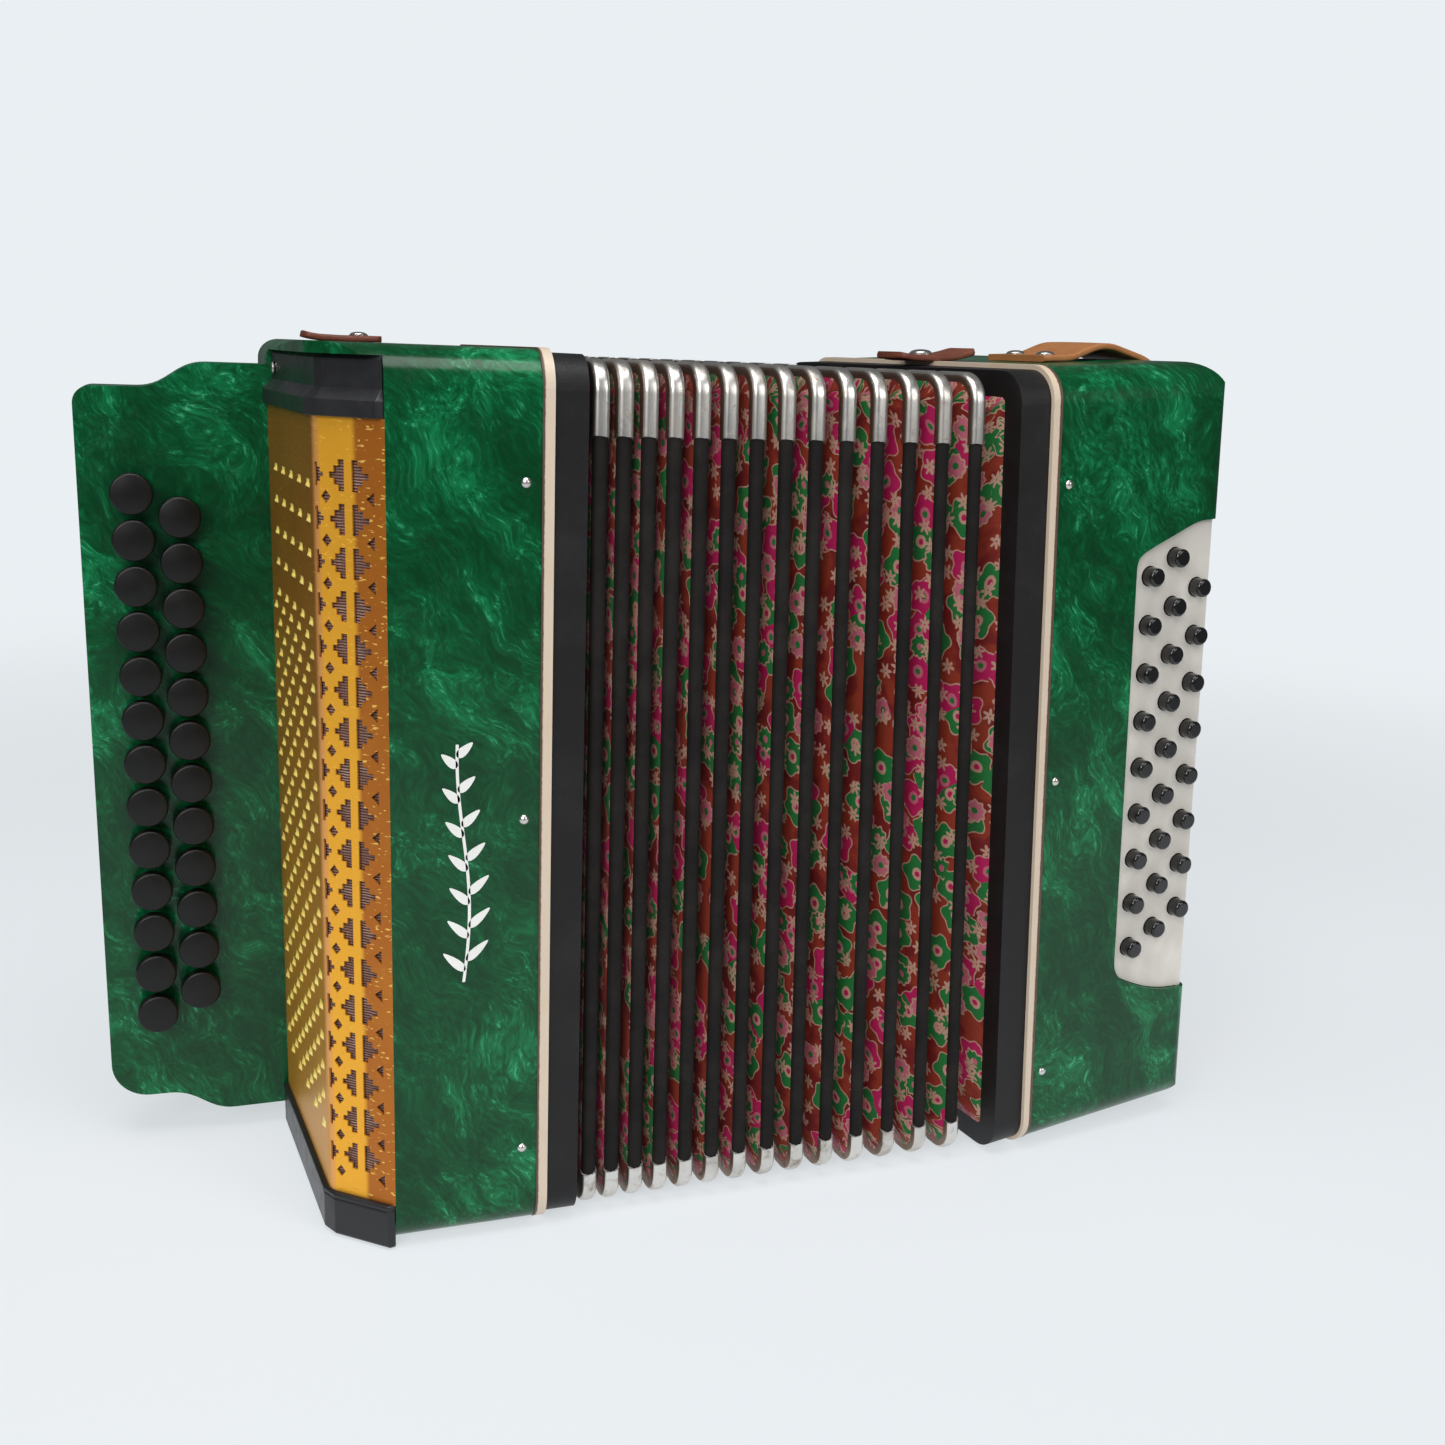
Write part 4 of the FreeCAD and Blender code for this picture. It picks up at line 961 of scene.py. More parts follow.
@dataclass
class BellowsFold:
    """One fold: a taped ridge with a metal guard bent round each of its corners."""

    fan: Fan
    number: int
    tape: bpy.types.Material
    metal: bpy.types.Material
    flank: bpy.types.Material
    tape_inset: float = 0.35 * MM
    side_gap: float = 0.2 * MM
    nose: float = 3.0 * MM
    wall_depth: float = 20.0 * MM
    guard_run: float = 15.5 * MM
    foot_guard_run: float = 4.5 * MM
    guard_flange: float = 6.2 * MM
    guard_sheet: float = 0.3 * MM
    guard_slant: float = 0.35

    def world(self, x: float, yz: Pair) -> Vector:
        """Return a point of the fold's own frame in the row frame."""
        inset = self.fan.inset
        return self.fan.pose(self.number) @ Vector((x, yz[0] + inset, yz[1] + inset))

    def tape_section(self) -> list[Pair]:
        """Return the ridge's section as (x, inset) points, round the nose and closed behind.

        Returns:
            The points.
        """
        low, high = self.side_gap, self.fan.thickness - self.side_gap
        half = (high - low) / 2
        points = [(low, self.wall_depth), (low, self.tape_inset + self.nose)]
        for i in range(1, 8):
            angle = math.pi * i / 8
            points.append((low + half - half * math.cos(angle),
                           self.tape_inset + self.nose * (1 - math.sin(angle))))
        return points + [(high, self.tape_inset + self.nose), (high, self.wall_depth)]

    def guard_section(self) -> list[Pair]:
        """Return a guard's U section as (x, inset) points, out along its face and back inside.

        Returns:
            The points.
        """
        width, deep, sheet = self.fan.thickness, self.guard_flange, self.guard_sheet
        soft = 2.2 * MM
        turns = [math.pi / 2 * i / 6 for i in range(7)]
        outer = [(0.0, deep)]
        outer += [(soft - soft * math.cos(a), soft - soft * math.sin(a)) for a in turns]
        outer += [(width - soft + soft * math.sin(a), soft - soft * math.cos(a)) for a in turns]
        outer += [(width, deep)]
        inner = [(width - sheet, deep), (width - sheet, soft), (width - soft, sheet),
                 (soft, sheet), (sheet, soft), (sheet, deep)]
        return outer + inner

    def build_tape(self) -> bpy.types.Object:
        """Return the taped ridge.

        Returns:
            The ridge's object.
        """
        outline = self.fan.outline()
        stations, section = outline.stations(), self.tape_section()
        points = [self.world(x, outline.point(station, inset))
                  for station in stations for x, inset in section]
        faces = grid_faces(len(stations), len(section), True, True)
        piece = mesh_piece(f"fold_tape_{self.number:02d}", points, faces, self.tape)
        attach(piece, self.fan.body(self.number))
        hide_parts(f"bellows_fold_{self.number:02d}")
        return piece

    def build_guards(self) -> bpy.types.Object:
        """Return the fold's four corner guards.

        Returns:
            The guards, as one object.
        """
        outline, section = self.fan.outline(), self.guard_section()
        points: list[Vector] = []
        faces: list[tuple[int, ...]] = []
        for corner in range(4):
            arc = [(corner, i / 10, True) for i in range(11)]
            base = len(points)
            rows = 0
            for end in (-1, 0, 1):
                for station in (arc if end == 0 else [arc[0] if end < 0 else arc[-1]]):
                    for x, inset in section:
                        y, z = outline.point(station, inset)
                        if end:
                            ahead = [(0, 1), (1, 0), (0, -1), (-1, 0)][(corner + (end > 0)) % 4]
                            run = self.guard_run if corner < 2 else self.foot_guard_run
                            run += self.guard_slant * inset
                            run += 0.12 * (x - self.fan.thickness / 2)
                            y, z = y + end * ahead[0] * run, z + end * ahead[1] * run
                        points.append(self.world(x, (y, z)))
                    rows += 1
            size = len(section)
            faces += [tuple(base + index for index in face)
                      for face in grid_faces(rows, size, False, True)]
            faces.append(tuple(base + index for index in range(size)))
            faces.append(tuple(base + (rows - 1) * size + index for index in reversed(range(size))))
        piece = mesh_piece(f"fold_guards_{self.number:02d}", points, faces, self.metal,
                           sharp=math.radians(50))
        piece.data.materials.append(self.flank)
        # Faces that point across the fold take the darker flank finish: painted shade.
        across = self.fan.pose(self.number).to_3x3() @ Vector((1, 0, 0))
        for face in piece.data.polygons:
            face.material_index = int(abs(face.normal.dot(across)) > 0.9)
        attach(piece, self.fan.body(self.number))
        return piece

    def build(self) -> None:
        """Make the fold."""
        self.build_tape()
        self.build_guards()


@dataclass
class Gusset:
    """The printed cloth between two neighbours of the bellows, folded in to a valley."""

    fan: Fan
    number: int
    satin: bpy.types.Material
    edge_depth: float = 3.0 * MM
    frame_depth: float = 8.5 * MM
    valley: float = 14.0 * MM
    tuck: float = 0.2 * MM
    across: int = 12
    crease_height: float = 2.6 * MM
    crease_pitch: float = 7.5 * MM
    crease_reach: float = 19.0 * MM

    def shape(self, outline: Outline, lengths: list[float], index: int, share: float) -> float:
        """Return how deep the cloth lies at one point.

        Args:
            outline: The section's outline.
            lengths: The outline's lengths.
            index: The station's number.
            share: 0 at the left edge and 1 at the right.

        Returns:
            The inset from the outline.
        """
        station = outline.stations()[index]
        along = lengths[index]
        fold_line = 1.0 - abs(2.0 * share - 1.0)
        drop = self.valley * (0.92 * fold_line + 0.08 * math.sin(math.pi * share) ** 2)
        side, place, corner = station
        length = (outline.height if side % 2 == 0 else outline.depth) - 2 * outline.radius
        away = 0.0 if corner else min(place, 1.0 - place) * length
        near = max(0.0, 1.0 - away / self.crease_reach)
        phase = (along / self.crease_pitch + 1.3 * share + 0.37 * self.number) % 1.0
        pleat = (phase - (phase > 0.82) * (phase - 0.82) / 0.18) * near * min(1.0, 2.5 * fold_line)
        sag = 0.35 * MM * math.sin(along * 95.0 + self.number * 2.1) * fold_line
        left = self.frame_depth if self.number == 0 else self.edge_depth
        right = self.frame_depth if self.number == self.fan.count else self.edge_depth
        edge = left + (right - left) * share
        return edge + drop + sag + self.crease_height * pleat * (0.5 + 0.5 * fold_line)

    def build(self) -> bpy.types.Object:
        """Return the cloth between one neighbour and the next.

        Returns:
            The cloth's object.
        """
        fan = self.fan
        outline = fan.outline()
        stations, lengths = outline.stations(), outline.lengths()
        left, right = fan.right_face(self.number), fan.pose(self.number + 1)
        points, places = [], []
        rows = [*range(len(stations)), 0]
        for row, index in enumerate(rows):
            walked = 0.0
            last = None
            for j in range(self.across + 1):
                share = j / self.across
                inset = self.shape(outline, lengths, index, share)
                y, z = outline.point(stations[index], inset)
                y, z = y + fan.inset, z + fan.inset
                here = left @ Vector((-self.tuck, y, z))
                there = right @ Vector((self.tuck, y, z))
                point = here.lerp(there, share)
                walked += 0.0 if last is None else (point - last).length
                last = point
                points.append(point)
                places.append((lengths[row] + 0.37 * self.number, walked + 0.113 * self.number))
        faces = grid_faces(len(rows), self.across + 1)
        piece = self.cloth_mesh(points, faces, places)
        self.bind(piece, left)
        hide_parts("bellows_cloth")
        area = sum(face.area for face in piece.data.polygons)
        area / lengths[-1]
        self.neighbours()
        return piece

    def neighbours(self) -> list[str]:
        """Return the names of the nodes or pieces that hold the cloth's edges."""
        left = "treble_bellows_frame" if self.number == 0 else f"fold_tape_{self.number:02d}"
        last = self.number == self.fan.count
        return [left, "bass_bellows_frame" if last else f"fold_tape_{self.number + 1:02d}"]

    def cloth_mesh(self, points: list[Vector], faces: list[tuple[int, ...]],
                   places: list[Pair]) -> bpy.types.Object:
        """Return the cloth's object with its weave coordinates; its first and last rows meet.

        Args:
            points: The points, row by row.
            faces: The faces.
            places: Each point's place on the flat cloth.

        Returns:
            The object.
        """
        name = f"bellows_gusset_{self.number + 1:02d}"
        mesh = bpy.data.meshes.new(name)
        mesh.from_pydata([tuple(point) for point in points], [], [face[::-1] for face in faces])
        mesh.materials.append(self.satin)
        mesh.shade_smooth()
        piece = link_new(name, mesh)
        set_weave(piece, places)
        return piece

    def bind(self, piece: bpy.types.Object, left: Matrix) -> None:
        """Bake the cloth's place into its mesh; its stretch between the two neighbours is worked out,
        but nothing makes it follow them.

        Args:
            piece: The cloth.
            left: The left neighbour's face.
        """
        fan, number = self.fan, self.number
        normal = left.to_3x3() @ Vector((1.0, 0.0, 0.0))
        share = fan.travel_share(number) / fan.travel_share(number + 1)
        inverse = 0.5 - math.sin(math.asin(1.0 - 2.0 * share) / 3.0)
        origin = left.translation
        start_depth = -self.tuck
        spots = [normal.dot(Vector(vertex.co) - origin) for vertex in piece.data.vertices]
        columns = self.across + 1
        end_depth = min(spots[columns - 1::columns])
        length = (end_depth - start_depth) / (1.0 - inverse)
        start = origin + normal * (start_depth - inverse * length)
        end = origin + normal * end_depth
        fan.body(number + 1)
        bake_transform(piece)


@dataclass
class Bellows:
    """The folds and the cloth between them."""

    fan: Fan
    tape: bpy.types.Material
    metal: bpy.types.Material
    flank: bpy.types.Material
    satin: bpy.types.Material

    def build(self) -> None:
        """Make every fold and every gusset."""
        for number in range(1, self.fan.count + 1):
            BellowsFold(self.fan, number, self.tape, self.metal, self.flank).build()
        log.info("bellows: %d folds with their guards", self.fan.count)
        for number in range(self.fan.count + 1):
            Gusset(self.fan, number, self.satin).build()
        log.info("bellows: %d cloth gussets", self.fan.count + 1)


# ---------------------------------------------------------------- the grille

@dataclass(frozen=True)
class BentPath:
    """The grille's plan: a slant, a bend and a side. Coordinates are X and Y of the row frame."""

    start: Pair = (-27.3 * MM, -90.0 * MM)
    bend: Pair = (-50.0 * MM, -70.5 * MM)
    finish: Pair = (-59.3 * MM, 25.0 * MM)
    radius: float = 8.0 * MM

    def legs(self) -> tuple[Vector, Vector, float, float, float]:
        """Return both directions, the turn, the length before the bend and the whole length.

        Returns:
            The two directions, the turn in radians and the two lengths.
        """
        first = Vector(self.bend) - Vector(self.start)
        second = Vector(self.finish) - Vector(self.bend)
        turn = first.angle(second)
        setback = self.radius * math.tan(turn / 2)
        before = first.length - setback
        whole = before + self.radius * turn + second.length - setback
        return first.normalized(), second.normalized(), turn, before, whole

    def at(self, along: float, inward: float) -> tuple[float, float]:
        """Return the (x, y) place of a point on the unrolled sheet.

        Args:
            along: Distance from the treble case's front edge along the sheet.
            inward: Distance behind the sheet's outer face.

        Returns:
            The place.
        """
        first, second, turn, before, _ = self.legs()
        inside = Vector((first.y, -first.x))
        if along <= before:
            spot = Vector(self.start) + first * along + inside * inward
            return spot.x, spot.y
        knee = Vector(self.start) + first * before
        centre = knee + inside * self.radius
        swept = min(turn, (along - before) / self.radius)
        arm = Matrix.Rotation(-swept, 2) @ (-inside)
        spot = centre + arm * (self.radius - inward)
        spot = spot + second * max(0.0, along - before - self.radius * turn)
        return spot.x, spot.y


@dataclass
class Grille:
    """The pierced gilt sheet, bent round the case's edge, and the cloth behind it."""

    gilt: bpy.types.Material
    glint: bpy.types.Material
    weave: bpy.types.Material
    path: BentPath = field(default_factory=BentPath)
    low: float = 18.5 * MM
    high: float = 315.0 * MM
    sheet: float = 0.8 * MM
    first_row: float = 295.0 * MM
    row_pitch: float = 15.27 * MM
    rows: int = 18
    step_height: float = 2.2 * MM
    cloth_behind: float = 1.5 * MM

    def stepped(self, flat: float, widths: Sequence[float], z: float, way: int,
                tall: float) -> list[Pair]:
        """Return a half diamond cut in steps.

        Args:
            flat: The place of its straight side.
            widths: The steps' widths, from the lowest.
            z: The height of its middle.
            way: 1 if it points away from the case's front edge, else -1.
            tall: The height of one step.

        Returns:
            Its corners.
        """
        low = z - tall * len(widths) / 2
        corners = [(flat, low)]
        for i, width in enumerate(widths):
            corners.append((flat + way * width, low + tall * i))
            corners.append((flat + way * width, low + tall * (i + 1)))
        return corners + [(flat, low + tall * len(widths))]

    def front_holes(self) -> list[list[Pair]]:
        """Return the holes of the slanted face, in metres along and up.

        Returns:
            Each hole's corners.
        """
        holes = []
        right = [2.5 * MM, 4.4 * MM, 6.9 * MM, 4.4 * MM, 2.5 * MM]
        left = [2.5 * MM, 4.4 * MM, 6.2 * MM, 4.4 * MM, 2.5 * MM]
        edge = [1.4 * MM, 2.6 * MM, 3.8 * MM, 2.6 * MM, 1.4 * MM]
        for i in range(self.rows):
            z = self.first_row - self.row_pitch * i
            holes.append(self.stepped(13.7 * MM, right, z, -1, self.step_height))
            holes.append(self.stepped(16.8 * MM, left, z, 1, self.step_height))
            holes.append(self.stepped(29.3 * MM, edge, z, -1, 0.75 * self.step_height))
            between = z - self.row_pitch / 2
            u, wide, tall = 24.5 * MM, 2.05 * MM, 2.5 * MM
            holes.append([(u - wide, between), (u, between - tall),
                          (u + wide, between), (u, between + tall)])
            holes.append([(4.6 * MM, between - 2.65 * MM), (7.9 * MM, between),
                          (4.6 * MM, between + 2.65 * MM)])
        return holes

    def louvre_places(self, whole: float) -> list[Pair]:
        """Return the middles of the side's louvres, in rows that close up into bricks.

        Args:
            whole: The sheet's whole length.

        Returns:
            The places, in metres along and up.
        """
        places = []
        pitch, row, open_rows = 17.5 * MM, 6.2 * MM, 4
        for i in range(int((self.high - self.low - 40 * MM) / row)):
            if i < 2 * open_rows and i % 2:
                continue
            u = 38.0 * MM + (pitch / 2 if i % 2 else 0.0)
            while u < whole - 7 * MM:
                places.append((u, self.high - 24 * MM - row * i))
                u += pitch
        return places

    def build_louvres(self) -> bpy.types.Object:
        """Return the small pressed louvres of the side, with a painted glint: their raised lips are
        coloured brighter than the gilt.

        Returns:
            The louvres, as one object.
        """
        whole = self.path.legs()[4]
        wide, tall, high, steps = 5.6 * MM, 3.0 * MM, 1.5 * MM, 6
        points, faces = [], []
        for u, z in self.louvre_places(whole):
            base = len(points)
            for i in range(steps + 1):
                for j in range(steps + 1):
                    across, up = 2 * i / steps - 1, 2 * j / steps - 1
                    lift = high * (1 - across ** 2) * (1 - up ** 4) * (0.35 - 0.65 * up)
                    x, y = self.path.at(u + across * wide / 2, -max(lift, 0.0) - 0.02 * MM)
                    points.append((x, y, z + up * tall / 2))
            faces += [tuple(base + index for index in face)
                      for face in grid_faces(steps + 1, steps + 1)]
        piece = mesh_piece("grille_louvres", points, faces, self.glint, sharp=None)
        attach(piece, "treble_case")
        return piece

    def flat_sheet(self, whole: float) -> bpy.types.Mesh:
        """Return the flat pierced sheet as a mesh, lying along X and up Y.

        Args:
            whole: The sheet's whole length.

        Returns:
            The mesh.
        """
        curve = bpy.data.curves.new("flat_grille", "CURVE")
        curve.dimensions = "2D"
        curve.fill_mode = "BOTH"
        curve.extrude = self.sheet / 2
        rim = [(0.0, self.low), (whole, self.low), (whole, self.high), (0.0, self.high)]
        for corners in [rim, *self.front_holes()]:
            spline = curve.splines.new("POLY")
            spline.points.add(len(corners) - 1)
            for point, (u, z) in zip(spline.points, corners):
                point.co = (u, z, 0.0, 1.0)
            spline.use_cyclic_u = True
        holder = link_new("flat_grille", curve)
        graph = bpy.context.evaluated_depsgraph_get()
        mesh = bpy.data.meshes.new_from_object(holder.evaluated_get(graph))
        bpy.data.objects.remove(holder)
        return mesh

    def build_sheet(self) -> bpy.types.Object:
        """Return the gilt sheet.

        Returns:
            The sheet's object.
        """
        _, _, turn, before, whole = self.path.legs()
        mesh = self.flat_sheet(whole)
        work = bmesh.new()
        work.from_mesh(mesh)
        bmesh.ops.remove_doubles(work, verts=work.verts, dist=1e-6)
        arc = self.path.radius * turn
        for i in range(10):
            everything = [*work.verts, *work.edges, *work.faces]
            bmesh.ops.bisect_plane(work, geom=everything, dist=1e-7, plane_no=(1, 0, 0),
                                   plane_co=(before + arc * i / 9, 0, 0))
        for face in work.faces:
            middle = face.calc_center_median().x
            face.smooth = before < middle < before + arc
        for edge in work.edges:
            flat = {face.smooth for face in edge.link_faces} != {True}
            edge.smooth = not flat and edge.calc_face_angle(0.0) < math.radians(30)
        for vertex in work.verts:
            x, y = self.path.at(vertex.co.x, self.sheet / 2 - vertex.co.z)
            vertex.co = (x, y, vertex.co.y)
        bmesh.ops.recalc_face_normals(work, faces=work.faces)
        work.to_mesh(mesh)
        work.free()
        mesh.materials.clear()
        mesh.materials.append(self.gilt)
        piece = link_new("gilt_grille", mesh)
        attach(piece, "treble_case")
        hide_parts("grille")
        return piece

    def build_cloth(self) -> bpy.types.Object:
        """Return the cloth stretched behind the sheet.

        Returns:
            The cloth's object.
        """
        whole = self.path.legs()[4]
        edge = 1.5 * MM
        columns, rows = 70, 100
        points, places = [], []
        for i in range(rows):
            z = self.low + edge + (self.high - self.low - 2 * edge) * i / (rows - 1)
            for j in range(columns):
                u = edge + (whole - 2 * edge) * j / (columns - 1)
                slack = 0.12 * MM * math.sin(u * 410.0) * math.sin(z * 380.0 + u * 90.0)
                x, y = self.path.at(u, self.cloth_behind + slack)
                points.append((x, y, z))
                places.append((u, z))
        piece = mesh_piece("grille_backing_cloth", points, grid_faces(rows, columns), self.weave,
                           sharp=None)
        set_weave(piece, places)
        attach(piece, "treble_case")
        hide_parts("grille_cloth")
        whole - 2 * edge
        self.high - self.low - 2 * edge
        return piece

    def build(self) -> None:
        """Make the sheet and its cloth."""
        self.build_sheet()
        self.build_louvres()
        self.build_cloth()
        log.info("grille: pierced sheet with %d rows and its cloth", self.rows)


@dataclass
class EndCaps:
    """The moulded caps over the grille's two ends, faceted where the grille bends."""

    plastic: bpy.types.Material
    steel: bpy.types.Material
    path: BentPath = field(default_factory=BentPath)
    top: Sequence[Pair] = ((-9.0 * MM, 315.0 * MM), (1.8 * MM, 315.0 * MM), (1.8 * MM, 320.8 * MM),
                           (-2.0 * MM, 324.6 * MM), (-2.0 * MM, 334.4 * MM), (-3.2 * MM, 336.0 * MM),
                           (-9.0 * MM, 336.0 * MM))
    foot: Sequence[Pair] = ((-9.0 * MM, 0.3 * MM), (0.8 * MM, 0.3 * MM), (1.8 * MM, 1.4 * MM),
                            (1.8 * MM, 15.6 * MM), (1.3 * MM, 16.2 * MM), (2.2 * MM, 16.8 * MM),
                            (2.2 * MM, 18.1 * MM), (1.4 * MM, 18.6 * MM), (-9.0 * MM, 18.5 * MM))

    def sweep(self, name: str, profile: Sequence[Pair]) -> bpy.types.Object:
        """Return one cap.

        Args:
            name: The piece's name.
            profile: Its section as (outward, z) points, closed.

        Returns:
            The cap.
        """
        _, _, turn, before, whole = self.path.legs()
        arc = self.path.radius * turn
        spots = [0.0, 2.2 * MM, before, before + arc, whole]
        shrinks = [2.6 * MM, 0.0, 0.0, 0.0, 0.0]
        points = []
        for spot, shrink in zip(spots, shrinks):
            for outward, z in profile:
                reach = outward - shrink if outward > -3.0 * MM else outward
                x, y = self.path.at(spot, -reach)
                points.append((min(x, self.path.start[0]), y, z))
        size = len(profile)
        faces = grid_faces(len(spots), size, False, True)
        faces.append(tuple(range(size)))
        faces.append(tuple((len(spots) - 1) * size + i for i in reversed(range(size))))
        piece = mesh_piece(name, points, faces, self.plastic, smooth=False)
        edges = piece.modifiers.new("soft_edges", "BEVEL")
        edges.width, edges.segments, edges.limit_method = 0.45 * MM, 2, "ANGLE"
        edges.angle_limit = math.radians(20)
        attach(piece, "treble_case")
        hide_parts("grille_end_caps")
        return piece

    def build(self) -> None:
        """Make both caps and the upper one's screw."""
        self.sweep("grille_cap_top", self.top)
        self.sweep("grille_cap_foot", self.foot)
        whole = self.path.legs()[4]
        x, y = self.path.at(whole - 8 * MM, 1.8 * MM)
        dome("grille_cap_screw", Vector((x, y, 329 * MM)), Vector((-1, 0, 0)), 2.6 * MM, 1.3 * MM,
             self.steel, "treble_case")
        log.info("caps: two with a screw")


# ---------------------------------------------------------------- the leather

def filleted(points: Sequence[Pair], radii: Sequence[float], step: float) -> list[Pair]:
    """Return a path through points with its corners rounded, sampled evenly enough to sweep.

    Args:
        points: The path's corners.
        radii: The radius at each corner but the ends.
        step: The longest stretch between samples.

    Returns:
        The samples.
    """
    corners = [Vector(point) for point in points]
    made = [corners[0]]
    for here, radius, before, after in zip(corners[1:-1], radii, corners, corners[2:]):
        back, ahead = (before - here).normalized(), (after - here).normalized()
        half = back.angle(ahead) / 2
        centre = here + (back + ahead).normalized() * (radius / math.sin(half))
        first = here + back * (radius / math.tan(half)) - centre
        last = here + ahead * (radius / math.tan(half)) - centre
        turn = first.angle_signed(last)
        pieces = max(4, math.ceil(abs(turn) * radius / step))
        made += [centre + Matrix.Rotation(-turn * i / pieces, 2) @ first for i in range(pieces + 1)]
    made.append(corners[-1])
    dense = [made[0]]
    for there in made[1:]:
        here = dense[-1]
        pieces = max(1, math.ceil((there - here).length / step))
        dense += [here.lerp(there, (i + 1) / pieces) for i in range(pieces)]
    return [(point.x, point.y) for point in dense]


@dataclass
class Strap:
    """A leather strap swept along a path in the XZ plane of its own frame."""

    name: str
    path: Sequence[Pair]
    middle: float
    width: float
    thickness: float
    leather: bpy.types.Material
    soft: float = 0.9 * MM
    cup: float = 0.5 * MM
    waviness: float = 0.35 * MM
    taper: float = 0.0

    def section(self) -> list[Pair]:
        """Return the section as (across, out) points, from 0 to the thickness.

        Returns:
            The points.
        """
        half, thick, soft = self.width / 2, self.thickness, min(self.soft, self.thickness * 0.45)
        corners = [(half - soft, soft, 0.0), (half - soft, thick - soft, math.pi / 2),
                   (-half + soft, thick - soft, math.pi), (-half + soft, soft, 1.5 * math.pi)]
        points = []
        for i, (across, out, begin) in enumerate(corners):
            for j in range(5):
                angle = begin - math.pi / 2 + j * math.pi / 8
                points.append((across + soft * math.cos(angle), out + soft * math.sin(angle)))
            if i in (1, 3):
                way = -1 if i == 1 else 1
                level = thick if i == 1 else 0.0
                points += [(way * (half - soft) * (2 * j / 8 - 1), level) for j in range(1, 8)]
        return points

    def build(self, pose: Matrix, body: str, slot: str, *replaced: str) -> bpy.types.Object:
        """Make the strap.

        Args:
            pose: The strap's own frame.
            body: The body it rides.
            slot: Not used.
            replaced: The CAD nodes it stands for.

        Returns:
            The strap.
        """
        section = self.section()
        path = [Vector(point) for point in self.path]
        points = []
        for i, here in enumerate(path):
            ahead = (path[min(i + 1, len(path) - 1)] - path[max(i - 1, 0)]).normalized()
            out = Vector((-ahead.y, ahead.x))
            share = i / (len(path) - 1)
            narrow = 1.0 - self.taper * max(0.0, 1.0 - min(share, 1.0 - share) / 0.06) ** 2
            for across, level in section:
                lift = level - self.cup * (2 * across / self.width) ** 2 * math.sin(math.pi * share)
                lift += self.waviness * math.sin(9.0 * share + 60.0 * across) * math.sin(math.pi * share)
                spot = here + out * lift
                points.append(pose @ Vector((spot.x, self.middle + across * narrow, spot.y)))
        size = len(section)
        faces = grid_faces(len(path), size, False, True)
        faces.append(tuple(range(size)))
        faces.append(tuple((len(path) - 1) * size + i for i in reversed(range(size))))
        piece = mesh_piece(self.name, points, faces, self.leather, sharp=math.radians(60))
        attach(piece, body)
        if replaced:
            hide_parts(*replaced)
        return piece


def dome(name: str, place: Vector, axis: Vector, radius: float, height: float,
         material: bpy.types.Material, body: str) -> bpy.types.Object:
    """Make a rivet's or stud's low dome with a small rim.

    Args:
        name: The piece's name.
        place: The middle of its foot.
        axis: Which way it stands.
        radius: Its radius.
        height: Its height.
        material: Its finish.
        body: The body it rides.

    Returns:
        The dome.
    """
    turn = Vector((0, 0, 1)).rotation_difference(axis).to_matrix()
    profile = [(radius, 0.0), (radius, height * 0.22), (radius * 0.93, height * 0.36)]
    profile += [(radius * 0.90 * math.cos(a), height * (0.36 + 0.64 * math.sin(a)))
                for a in (math.pi * i / 16 for i in range(8))]
    points = []
    sides = 32
    for i in range(sides):
        angle = 2 * math.pi * i / sides
        for r, z in profile:
            points.append(place + turn @ Vector((r * math.cos(angle), r * math.sin(angle), z)))
    top = len(points)
    points.append(place + turn @ Vector((0, 0, height)))
    faces = grid_faces(sides, len(profile), True)
    last = len(profile) - 1
    faces += [(i * len(profile) + last, (i + 1) % sides * len(profile) + last, top)
              for i in range(sides)]
    faces.append(tuple(i * len(profile) for i in range(sides)))
    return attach(mesh_piece(name, points, faces, material), body)


